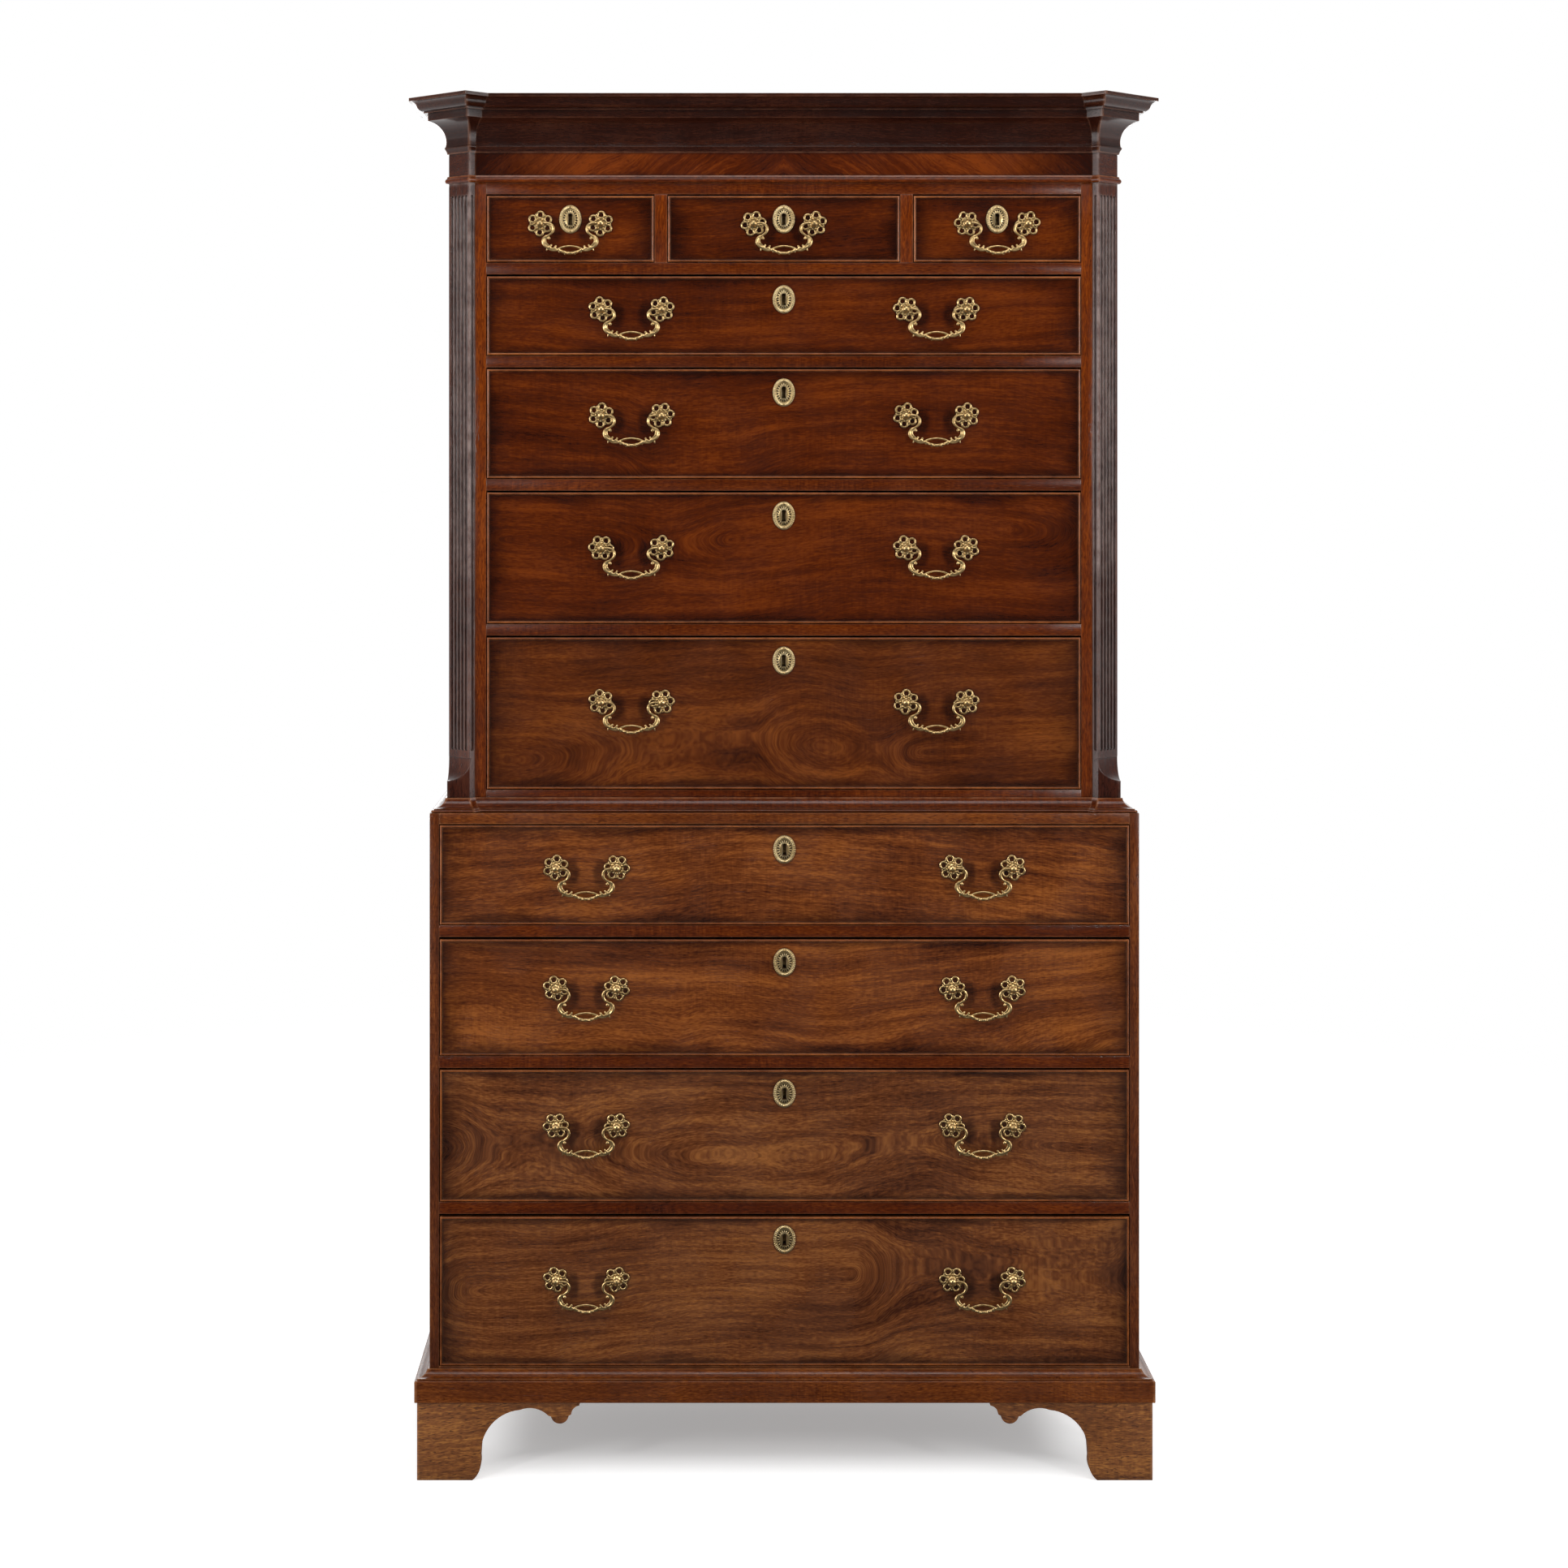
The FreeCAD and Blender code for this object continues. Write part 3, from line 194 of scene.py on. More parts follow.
def times(tree, *values, clamp=False):
    """Product of two values."""
    return calculate(tree, "MULTIPLY", *values, clamp=clamp)


def plus(tree, *values, clamp=False):
    """Sum of two values."""
    return calculate(tree, "ADD", *values, clamp=clamp)


def minus(tree, *values):
    """Difference of two values."""
    return calculate(tree, "SUBTRACT", *values)


def vector_math(tree, operation, *values):
    """Output of a Vector Math node."""
    return put(tree, "ShaderNodeVectorMath", dict(enumerate(values)), operation=operation).outputs[0]


def parts(tree, vector):
    """The X, Y and Z of a vector."""
    return put(tree, "ShaderNodeSeparateXYZ", {0: vector}).outputs


def blend(tree, factor, first, second, mode="MIX"):
    """Output of a colour Mix node."""
    made = put(tree, "ShaderNodeMix", {0: factor, 6: first, 7: second}, data_type="RGBA", blend_type=mode)
    return made.outputs[2]


def between(tree, value, low, high, to_low=0.0, to_high=1.0):
    """Smooth step of a value from one range to another."""
    inputs = {"Value": value, "From Min": low, "From Max": high, "To Min": to_low, "To Max": to_high}
    return put(tree, "ShaderNodeMapRange", inputs, interpolation_type="SMOOTHSTEP").outputs[0]


def noise(tree, vector, stretch, detail, roughness=0.5):
    """Noise over a vector that is stretched first, so that a grain can be long one way."""
    scaled = vector_math(tree, "MULTIPLY", vector, stretch)
    inputs = {"Vector": scaled, "Scale": 1.0, "Detail": detail, "Roughness": roughness}
    return put(tree, "ShaderNodeTexNoise", inputs).outputs["Fac"]


# %% Groups and materials
def new_group(name, inputs, outputs):
    """Empty shader group; returns it, its input sockets and its output sockets."""
    tree = bpy.data.node_groups.new(name, "ShaderNodeTree")
    for way, kinds in (("INPUT", inputs), ("OUTPUT", outputs)):
        for kind, labels in kinds.items():
            for label in labels:
                tree.interface.new_socket(label, in_out=way, socket_type=f"NodeSocket{kind}")
    return tree, tree.nodes.new("NodeGroupInput").outputs, tree.nodes.new("NodeGroupOutput").inputs


def use(tree, group, inputs):
    """Places a group in a tree and fills its inputs."""
    return put(tree, "ShaderNodeGroup", inputs, node_tree=group).outputs


def new_material(name):
    """Material with a bare Principled shader; returns it, its tree and the shader."""
    material = bpy.data.materials.new(name)
    material.use_nodes = True
    tree = material.node_tree
    return material, tree, tree.nodes["Principled BSDF"]


# %% [markdown]
# The room is white behind the chest. The floor is white too, and keeps the chest's shadow: near the chest
# it is a real surface that the lamps light, and further out it fades into the white of the room, so that
# no horizon shows. For the camera the floor also gives off some light, less of it under the case. Polished
# wood mirrors a bright room behind the chest and a dim one in front of it.

# %% Room
ROOM_FILL = 0.28
FRONT_GLEAM = 0.05  # how bright the room in front of the chest is to a polished surface
MIRROR_TURN = (0.2, 0.8)  # from front to back, where the mirrored room turns bright
FILL_TURN = (-0.9, 0.1)  # the same for rough surfaces
FLOOR_RADIUS = 30
FLOOR_NEAR = 1.5
FLOOR_FAR = 3.4
FLOOR_WHITES = ((0.78, 0.78, 0.78, 1), (0.82, 0.82, 0.82, 1))
FLOOR_MIRROR = (-0.6, 1.5)  # depths between which the mirrored floor turns bright
FOOTPRINT = (0.48, 0.25, 0.0)  # half the width and depth of the case
FOOTPRINT_EDGE = (-0.13, -0.04)  # the floor brightens between these distances from its outline
FLOOR_LIFT = (0.34, 0.60)  # light added for the camera under the case, and beside it
WHITE = (1, 1, 1, 1)

world = bpy.data.worlds.new("studio")
bpy.context.scene.world = world
world.use_nodes = True
room = world.node_tree
rays = put(room, "ShaderNodeLightPath").outputs
ahead = parts(room, put(room, "ShaderNodeTexCoord").outputs["Generated"])["Y"]
mirrored_room = between(room, ahead, *MIRROR_TURN, FRONT_GLEAM, 1.0)
shown = times(room, rays["Is Glossy Ray"], mirrored_room)
fill = between(room, ahead, *FILL_TURN, FRONT_GLEAM, ROOM_FILL)
strength = calculate(room, "MAXIMUM", calculate(room, "MAXIMUM", rays["Is Camera Ray"], shown), fill)
feed(room, room.nodes["Background"].inputs, {"Strength": strength, "Color": WHITE})
print("room with", len(room.nodes), "nodes")

# %% Floor
bpy.ops.mesh.primitive_circle_add(vertices=96, radius=FLOOR_RADIUS, fill_type="NGON", location=(0, 0, 0))
floor = bpy.context.object
floor.name = "floor"
floor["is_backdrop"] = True
floor_material, tree, shader = new_material("white_floor")
place = put(tree, "ShaderNodeTexCoord").outputs["Object"]
distance = put(tree, "ShaderNodeVectorMath", {0: place}, operation="LENGTH").outputs["Value"]
fade = between(tree, distance, FLOOR_NEAR, FLOOR_FAR)
speckle = noise(tree, place, (5, 5, 5), 3)
feed(tree, shader.inputs, {"Roughness": 0.9, "Specular IOR Level": 0.1, "Emission Color": WHITE})
rays = put(tree, "ShaderNodeLightPath").outputs
beside = parts(tree, vector_math(tree, "SUBTRACT", vector_math(tree, "ABSOLUTE", place), FOOTPRINT))
beside = calculate(tree, "MAXIMUM", beside["X"], beside["Y"])
# Less light is added under the case than beside it: a painted shadow under the case.
lift = between(tree, beside, *FOOTPRINT_EDGE, *FLOOR_LIFT)
lift = times(tree, rays["Is Camera Ray"], lift)
feed(tree, shader.inputs, {"Base Color": blend(tree, speckle, *FLOOR_WHITES), "Emission Strength": lift})
# In reflections the floor is a glow, dim in front of the chest and white behind it: a painted reflection of the
# room.
behind = between(tree, parts(tree, place)["Y"], *FLOOR_MIRROR, FRONT_GLEAM, 1.0)
dimmed = times(tree, rays["Is Glossy Ray"], minus(tree, 1.0, behind))
bright = minus(tree, 1.0, dimmed)
glow = put(tree, "ShaderNodeEmission", {"Color": WHITE, "Strength": bright})
far_or_mirrored = calculate(tree, "MAXIMUM", fade, rays["Is Glossy Ray"])
mixed = put(tree, "ShaderNodeMixShader", {0: far_or_mirrored, 1: shader.outputs[0], 2: glow.outputs[0]})
feed(tree, tree.nodes["Material Output"].inputs, {"Surface": mixed.outputs[0]})
floor.data.materials.append(floor_material)
bpy.ops.object.select_all(action="DESELECT")
print("floor with", len(tree.nodes), "nodes")

# %% [markdown]
# ## Wood
# One group makes every wood of the chest. A board is a slice through the rings of a trunk, so the group
# first works out how far a point lies from the heart of the tree: well away from the heart the rings are
# cut as nearly straight lines, and near it they close into long ovals. Lines, streaks and fibres are noises
# that are stretched along the grain and follow that distance. Clouds, ripples across the grain and short
# dark pores come on top. A Mapping node in each material turns the board to suit.

# %% Grain sizes
# All are cycles in a metre along the grain, into the board and across the grain.
LINE_STRETCH = (4.0, 8.0, 85.0)
STREAK_STRETCH = (13.0, 60.0, 270.0)
FIBRE_STRETCH = (120.0, 300.0, 800.0)
CLOUD_STRETCH = (5.0, 5.0, 12.0)
PORE_STRETCH = (150.0, 260.0, 640.0)
RIPPLE_STRETCH = (330.0, 40.0, 42.0)
RIPPLE_PATCHES = (4.0, 4.0, 9.0)
WANDER_STRETCH = (6.0, 3.0, 17.0)
BEND_STRETCH = (1.6, 0.5, 0.0)
OVAL_STRETCH = (3.1, 0.5, 0.4)  # where the rings close into ovals
HEART_BEND = 0.05  # the heart strays this far to each side, in metres
FIBRE_HEIGHT = 0.35
print("fibres", round(1 / FIBRE_STRETCH[2] / MM, 2), "mm apart")

# %% Grain group
HABIT_NAMES = ("Wander", "Lines", "Streaks", "Fibres", "Clouds", "Ripple", "Pores")
grain_group, into, out = new_group(
    "wood_grain",
    {
        "Vector": ("Vector", "Seed"),
        "Color": ("Dark", "Middle", "Light"),
        "Float": ("Heart", "Depth") + HABIT_NAMES,
    },
    {"Color": ("Color",), "Float": ("Gloss", "Height")},
)
tree = grain_group


def swing(tree, value, weight):
    """A noise about zero instead of a half, times its weight."""
    return times(tree, minus(tree, value, 0.5), weight)


# How far a point lies from the heart: the rings.
seeded = vector_math(tree, "ADD", into["Vector"], into["Seed"])
across = minus(tree, parts(tree, into["Vector"])["Z"], into["Heart"])
across = plus(tree, across, swing(tree, noise(tree, seeded, BEND_STRETCH, 1), 2 * HEART_BEND))
depth = between(tree, noise(tree, seeded, OVAL_STRETCH, 1), 0.40, 0.64, 0.02, 1.0)
depth = times(tree, depth, into["Depth"])
ring = times(tree, across, across)
ring = calculate(tree, "SQRT", plus(tree, ring, times(tree, depth, depth)))
wander = swing(tree, noise(tree, seeded, WANDER_STRETCH, 2, 0.55), into["Wander"])
ring = plus(tree, ring, wander)
cut = parts(tree, seeded)

# Lines, streaks and fibres along the rings, clouds and ripples over them.
along = put(tree, "ShaderNodeCombineXYZ", {"X": cut["X"], "Y": cut["Y"], "Z": ring}).outputs[0]
lines = noise(tree, along, LINE_STRETCH, 3, 0.6)
streaks = noise(tree, along, STREAK_STRETCH, 3, 0.6)
fibres = noise(tree, along, FIBRE_STRETCH, 1, 0.5)
clouds = noise(tree, seeded, CLOUD_STRETCH, 3, 0.55)
ripple = noise(tree, seeded, RIPPLE_STRETCH, 1, 0.5)
rippled = between(tree, noise(tree, seeded, RIPPLE_PATCHES, 2), 0.42, 0.62)
tone = swing(tree, lines, into["Lines"])
for layer, weight in ((streaks, "Streaks"), (fibres, "Fibres"), (clouds, "Clouds")):
    tone = plus(tree, tone, swing(tree, layer, into[weight]))
ripple = times(tree, rippled, swing(tree, ripple, into["Ripple"]))
tone = plus(tree, tone, ripple)

# The tone picks the colour between dark, middle and light, and the pores are dark.
low_half = plus(tree, times(tree, tone, 2.0), 1.0, clamp=True)
high_half = times(tree, tone, 2.0, clamp=True)
colour = blend(tree, low_half, into["Dark"], into["Middle"])
colour = blend(tree, high_half, colour, into["Light"])
pores = between(tree, noise(tree, along, PORE_STRETCH, 0, 0.5), 0.66, 0.78)
pores = times(tree, pores, into["Pores"])
colour = blend(tree, pores, colour, into["Dark"])
height = minus(tree, times(tree, fibres, FIBRE_HEIGHT), pores)
feed(tree, out, {"Color": colour, "Gloss": minus(tree, streaks, 0.5), "Height": height})
print("grain group with", len(tree.nodes), "nodes")

# %% [markdown]
# Age shows at the edges, and painted light with it. Polish wears off the arrises, where hands and dusters catch
# them, and wax and dirt stay in the corners; the pale arrises also paint highlights, and the dark corners paint
# shade. Rays that are sent inwards find the arrises, because there they soon leave the wood, and rays that are
# sent outwards find the corners.

# %% Age group
ARRIS_REACH = 0.003
CORNER_REACH = 0.024
WORN_AND_HIGHLIT_RANGE = (0.12, 0.6)  # share of the inward rays that leave the wood
GRIME_AND_SHADE_RANGE = (0.06, 0.6)  # share of the outward rays that are stopped
WEAR_AND_HIGHLIGHT_PATCHES = (38, 38, 38)
EDGE_RAYS = 6

age_and_light_group, into, out = new_group(
    "age_and_painted_light_at_edges", {"Vector": ("Vector",), "Float": ("Arris", "Corner")}, {"Float": ("Worn and highlight", "Grime and shade")}
)
tree = age_and_light_group
reach = {"Distance": into["Arris"]}
inward = put(tree, "ShaderNodeAmbientOcclusion", reach, inside=True, only_local=True, samples=EDGE_RAYS)
outward = put(tree, "ShaderNodeAmbientOcclusion", {"Distance": into["Corner"]}, samples=EDGE_RAYS)
patchy = between(tree, noise(tree, into["Vector"], WEAR_AND_HIGHLIGHT_PATCHES, 4, 0.65), 0.34, 0.66, 0.25, 1.0)
# Pale arrises: worn polish, and a painted highlight where a lamp would catch the edge.
worn_and_highlit = minus(tree, 1.0, inward.outputs["AO"])
worn_and_highlit = times(tree, between(tree, worn_and_highlit, *WORN_AND_HIGHLIT_RANGE), patchy)
# Dark corners: wax and dirt, and painted shade where less light falls.
grime_and_shade_mask = minus(tree, 1.0, outward.outputs["AO"])
feed(tree, out, {"Worn and highlight": worn_and_highlit, "Grime and shade": between(tree, grime_and_shade_mask, *GRIME_AND_SHADE_RANGE)})
print("age group with", len(tree.nodes), "nodes")

# %% [markdown]
# A drawer front is darkest along its four edges, where two centuries of polish were never rubbed back, and a
# softer shade reaches in from its two ends. This group measures how far a point is from the edges of a
# rectangle, so that the shade follows each front, or each board of the back, whatever its size.

# %% Border group
END_SLOWNESS = 0.55  # distances from the ends count this much, so the border is wider there
RAGGED_STRETCH = (9, 9, 14)
RAGGED_REACH = (0.45, 1.5)  # shortest and longest reach of the ragged border, as shares

border_group, into, out = new_group(
    "dark_border",
    {"Vector": ("Vector", "Centre", "Half"), "Float": ("Reach", "End reach", "End shade")},
    {"Float": ("Shade",)},
)
tree = border_group
offset = vector_math(tree, "ABSOLUTE", vector_math(tree, "SUBTRACT", into["Vector"], into["Centre"]))
inset = parts(tree, vector_math(tree, "SUBTRACT", into["Half"], offset))
nearest = calculate(tree, "MINIMUM", times(tree, inset["X"], END_SLOWNESS), inset["Z"])
ends = between(tree, inset["X"], 0.0, into["End reach"], into["End shade"], 0.0)
ragged = between(tree, noise(tree, into["Vector"], RAGGED_STRETCH, 4, 0.6), 0.3, 0.7, *RAGGED_REACH)
edge = times(tree, into["Reach"], ragged)
shade = between(tree, calculate(tree, "DIVIDE", nearest, edge), 0.0, 1.0, 1.0, 0.0)
feed(tree, out, {"Shade": calculate(tree, "MAXIMUM", shade, ends)})
print("border group with", len(tree.nodes), "nodes")


# %% [markdown]
# ## Making a wood
# Each wood is a palette and a few habits. The board's own box decides where its dark border lies, and a
# seed shifts it to a fresh place in the tree, so that no two boards match. Colours are given as linear
# shares of red, green and blue.

# %% Palettes
GRAIN_TURN = {
    "x": (0, 0, 0),
    "y": (0, 0, -math.pi / 2),
    "z": (0, math.pi / 2, 0),
    "rising": (0, 0, -math.pi / 4),
    "falling": (0, 0, math.pi / 4),
    "flame": (0, -0.62, 0),
}

PALETTES = {  # middle wood, then the colour of worn arrises: bare wood under worn polish and a painted highlight
    "upper": ((0.074, 0.0112, 0.0010), (0.33, 0.13, 0.06)),
    "upper_brown": ((0.093, 0.0195, 0.0030), (0.36, 0.16, 0.07)),
    "lower": ((0.132, 0.0310, 0.0052), (0.42, 0.20, 0.09)),
    "lower_brown": ((0.133, 0.0375, 0.0090), (0.42, 0.22, 0.11)),
    "stile": ((0.130, 0.0215, 0.0014), (0.40, 0.16, 0.07)),
    "rail": ((0.083, 0.0132, 0.0010), (0.36, 0.15, 0.07)),
    "cornice": ((0.025, 0.0055, 0.0026), (0.26, 0.11, 0.06)),
    "frieze": ((0.078, 0.0118, 0.0014), (0.36, 0.15, 0.07)),
    "bead": ((0.120, 0.0280, 0.0050), (0.44, 0.14, 0.04)),
    # The pilasters' pale grey second colour is a painted glare of the side lamps on their arrises.
    "pilaster": ((0.046, 0.0100, 0.0045), (0.36, 0.265, 0.235)),
    "base": ((0.122, 0.0270, 0.0036), (0.46, 0.20, 0.08)),
    "foot": ((0.212, 0.0680, 0.0140), (0.45, 0.25, 0.12)),
    "side": ((0.105, 0.0240, 0.0055), (0.38, 0.17, 0.08)),
    "oak": ((0.32, 0.178, 0.082), (0.50, 0.36, 0.21)),
    "old_oak": ((0.158, 0.084, 0.043), (0.36, 0.25, 0.15)),
}
DARKER = (0.33, 0.27, 0.30)  # the darkest and the lightest wood, as shares of the middle
LIGHTER = (2.1, 2.6, 2.4)
print(len(PALETTES), "palettes")

# %% Habits
HABITS = {  # wander, lines, streaks, fibres, clouds, ripple, pores, roughness, wear and highlight, grime and shade
    "upper": (0.016, 0.95, 0.60, 0.80, 1.30, 0.26, 0.22, 0.17, 0.20, 0.75),
    "upper_brown": (0.022, 1.05, 0.56, 0.78, 1.30, 0.30, 0.22, 0.20, 0.20, 0.75),
    "lower": (0.020, 1.30, 0.84, 1.05, 1.05, 0.32, 0.24, 0.23, 0.20, 0.75),
    "lower_brown": (0.026, 1.40, 0.84, 1.10, 0.95, 0.24, 0.26, 0.26, 0.20, 0.75),
    "stile": (0.008, 0.62, 0.66, 1.02, 0.66, 0.21, 0.64, 0.20, 0.45, 0.60),
    "rail": (0.010, 0.62, 0.61, 1.09, 0.99, 0.63, 0.56, 0.20, 0.50, 0.60),
    "cornice": (0.008, 0.80, 0.60, 0.82, 1.20, 0.35, 0.48, 0.20, 0.40, 0.60),
    "frieze": (0.060, 1.30, 0.60, 0.70, 2.20, 0.20, 0.40, 0.18, 0.30, 0.60),
    "bead": (0.010, 0.90, 0.90, 1.00, 1.60, 0.20, 0.50, 0.20, 0.52, 0.60),
    "pilaster": (0.006, 0.70, 0.80, 0.90, 0.90, 0.14, 0.64, 0.20, 0.62, 0.95),
    "base": (0.010, 0.68, 0.61, 1.09, 0.86, 0.42, 0.56, 0.24, 0.60, 0.60),
    "foot": (0.010, 0.56, 0.61, 1.22, 0.53, 0.35, 0.80, 0.50, 0.30, 0.35),
    "side": (0.016, 0.68, 0.61, 1.02, 0.86, 0.42, 0.48, 0.24, 0.40, 0.60),
    "oak": (0.010, 0.68, 0.61, 0.82, 0.59, 0.35, 0.72, 0.72, 0.25, 0.80),
    "old_oak": (0.010, 0.68, 0.61, 0.82, 0.59, 0.35, 0.72, 0.78, 0.25, 0.80),
}
BUMP = {"Strength": 0.25, "Distance": 0.0004}
SHINE = 0.42
GLOSS_STREAKS = -0.15  # how much the streaks change the roughness
UNEVEN = (0.8, 1.25)  # least and greatest roughness, as shares of the habit
print(len(HABITS), "habits")

# %% [markdown]
# A front has its dark border, and a patch of painted shadow and dark wax on the inner side of each rose, where
# the brasses would shade the wood and no cloth gets at it. The patch is an oval that is measured from the box
# of the drawer's own bail.
# With two bails the left half mirrors the right one.

# %% Shade on the fronts
BORDER_REACH = 0.019
# Tint of the dark border and of the painted shadow beside the roses.
BORDER_AND_SHADOW_TINT = (0.30, 0.26, 0.30, 1)
# Tint of the dark corners, for dirt and painted shade alike.
GRIME_AND_SHADE_TINT = (0.22, 0.20, 0.24, 1)
# Reach and strength of the shade at the two ends.
DARK_ENDS = {"frieze": (0.17, 1.0), "upper": (0.05, 0.4), "old_oak": (0.006, 0.9)}
OTHER_ENDS = (0.06, 0.5)
BAIL_TOP = 3 * MM  # a bail's box ends this far above its pins
PATCH_PLACE = (0.0195, -0.007)  # from the middle of a bail and from the height of its pins
PATCH_SIZE = (0.010, 0.017)
PATCH_FADE = (0.2, 1.8)
PATCH_SHADE = 0.8


def rose_shadow_and_wax(tree, place, bails):
    """Strength of the painted shadow and dark wax beside each rose of a front."""
    low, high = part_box(bails[0])
    middle, pins = (low.x + high.x) / 2, high.z - BAIL_TOP
    spot = parts(tree, place)
    across = spot["X"]
    if len(bails) == 2:
        across, middle = calculate(tree, "ABSOLUTE", across), abs(middle)
    across = calculate(tree, "ABSOLUTE", minus(tree, across, middle))
    across = calculate(tree, "DIVIDE", minus(tree, across, PATCH_PLACE[0]), PATCH_SIZE[0])
    upward = minus(tree, spot["Z"], pins + PATCH_PLACE[1])
    upward = calculate(tree, "DIVIDE", upward, PATCH_SIZE[1])
    across, upward = (times(tree, value, value) for value in (across, upward))
    return between(tree, plus(tree, across, upward), *PATCH_FADE, PATCH_SHADE, 0.0)


def tinted(tree, factor, colour, tint):
    """A colour, multiplied with a tint by a factor."""
    return blend(tree, factor, colour, blend(tree, 1.0, colour, tint, "MULTIPLY"))


def shaded(tree, colour, place, kind, border, bails):
    """Colour of a bordered board: darker at its edges and ends, and beside its roses if it has bails."""
    low, high = border
    inputs = {"Vector": place, "Centre": (low + high) / 2, "Half": (high - low) / 2, "Reach": BORDER_REACH}
    inputs["End reach"], inputs["End shade"] = DARK_ENDS.get(kind, OTHER_ENDS)
    shade = use(tree, border_group, inputs)["Shade"]
    if bails:
        # Beside the roses the front darkens with a painted shadow and wax.
        shade = calculate(tree, "MAXIMUM", shade, rose_shadow_and_wax(tree, place, bails))
    return tinted(tree, shade, colour, BORDER_AND_SHADOW_TINT)


# %% [markdown]
# The flutes of the pilasters are so fine that the wear reaches further there, and their arrises are rounded in
# the shading.
# Their pale grey arris colour is a painted highlight, the glare of the side lamps, as well as wear. On the
# reeded foot of each pilaster the wear and highlight are slighter.

# %% Wood
PILASTER_ARRIS = 0.007
PILASTER_ROUNDING = 0.0016
CABLE_TOP = (1.24, 1.28)  # the reeded foot of each pilaster ends here
CABLE_WEAR_AND_HIGHLIGHT = 0.35
FAR_HEART = (0.35, 0.02)
chance = random.Random(1785)


def grown_wood(tree, place, kind, grain, heart):
    """Outputs of the grain group, set up for one board."""
    sawn = vector_math(tree, "ABSOLUTE", place) if grain == "flame" else place
    turned = put(tree, "ShaderNodeMapping", {"Vector": sawn, "Rotation": GRAIN_TURN[grain]}).outputs[0]
    middle = Vector(PALETTES[kind][0]).to_4d()
    inputs = {"Vector": turned, "Seed": tuple(chance.uniform(-20, 20) for axis in range(3))}
    inputs["Middle"] = middle[:]
    inputs["Dark"] = [a * b for a, b in zip(middle, DARKER + (1,))]
    inputs["Light"] = [a * b for a, b in zip(middle, LIGHTER + (1,))]
    inputs["Heart"], inputs["Depth"] = heart
    inputs |= zip(HABIT_NAMES, HABITS[kind])
    return use(tree, grain_group, inputs)


def wood(name, kind, grain, border=None, heart=FAR_HEART, bails=()):
    """Wood of one kind, its grain along an axis or mirrored as a flame; a front also has a dark border."""
    roughness, wear_and_highlight, grime_and_shade_weight = HABITS[kind][-3:]
    material, tree, shader = new_material(name)
    place = put(tree, "ShaderNodeTexCoord").outputs["Object"]
    grown = grown_wood(tree, place, kind, grain, heart)
    colour = shaded(tree, grown["Color"], place, kind, border, bails) if border else grown["Color"]
    reach = PILASTER_ARRIS if kind == "pilaster" else ARRIS_REACH
    aged_and_lit = use(tree, age_and_light_group, {"Vector": place, "Arris": reach, "Corner": CORNER_REACH})
    # Corners darken with wax and dirt and with painted shade.
    grime_and_shade = times(tree, aged_and_lit["Grime and shade"], grime_and_shade_weight)
    colour = tinted(tree, grime_and_shade, colour, GRIME_AND_SHADE_TINT)
    # Worn arrises take the bare colour, which also paints their highlight.
    rubbed_and_highlit = times(tree, aged_and_lit["Worn and highlight"], wear_and_highlight)
    # On the reeded foot the painted highlight and wear are weaker.
    if kind == "pilaster":
        above = between(tree, parts(tree, place)["Z"], *CABLE_TOP, CABLE_WEAR_AND_HIGHLIGHT, 1.0)
        rubbed_and_highlit = times(tree, rubbed_and_highlit, above)
    colour = blend(tree, rubbed_and_highlit, colour, (*PALETTES[kind][1], 1))
    uneven = noise(tree, place, (14, 14, 14), 3)
    uneven = between(tree, uneven, 0.3, 0.7, *(roughness * share for share in UNEVEN))
    gloss = plus(tree, times(tree, grown["Gloss"], GLOSS_STREAKS), uneven)
    gloss = plus(tree, gloss, times(tree, grime_and_shade, 0.1))
    bump = put(tree, "ShaderNodeBump", {"Height": grown["Height"]} | BUMP)
    if kind == "pilaster":
        rounded = put(tree, "ShaderNodeBevel", {"Radius": PILASTER_ROUNDING}, samples=4)
        feed(tree, bump.inputs, {"Normal": rounded.outputs[0]})
    surface = {"Base Color": colour, "Roughness": gloss, "Normal": bump.outputs[0], "Specular IOR Level": SHINE}
    feed(tree, shader.inputs, surface)
    return material


# %% [markdown]
# ## Taking the frame's boards apart
# A node of the frame is a bag of loose triangles, one closed solid after another. To give each board its
# own grain and soft arrises, a copy is split solid by solid: a solid is finished as soon as every edge has
# met its neighbour. Then its doubles are merged and its sharp edges take a small bevel.

# %% Split helpers
SAME_SPOT = 1e-6
SHARP = math.radians(40)  # edges sharper than this take the bevel


def solid_numbers(mesh):
    """Number of the closed solid that each triangle of a CAD mesh belongs to."""
    spots = [tuple(round(c, 6) for c in vertex.co) for vertex in mesh.vertices]
    waiting = set()
    numbers = []
    current = 0
    for polygon in mesh.polygons:
        corners = [spots[index] for index in polygon.vertices]
        numbers.append(current)
        for start, end in zip(corners, corners[1:] + corners[:1]):
            if start == end:
                continue
            if (end, start) in waiting:
                waiting.remove((end, start))
            else:
                waiting.add((start, end))
        if not waiting:
            current += 1
    return numbers


def edit(piece, kind="FACE"):
    """Opens one object in edit mode with everything selected."""
    activate([piece])
    bpy.ops.object.mode_set(mode="EDIT")
    bpy.ops.mesh.select_mode(type=kind)
    bpy.ops.mesh.select_all(action="SELECT")


def close_edit():
    """Leaves edit mode with nothing selected."""
    bpy.ops.object.mode_set(mode="OBJECT")
    bpy.ops.object.select_all(action="DESELECT")


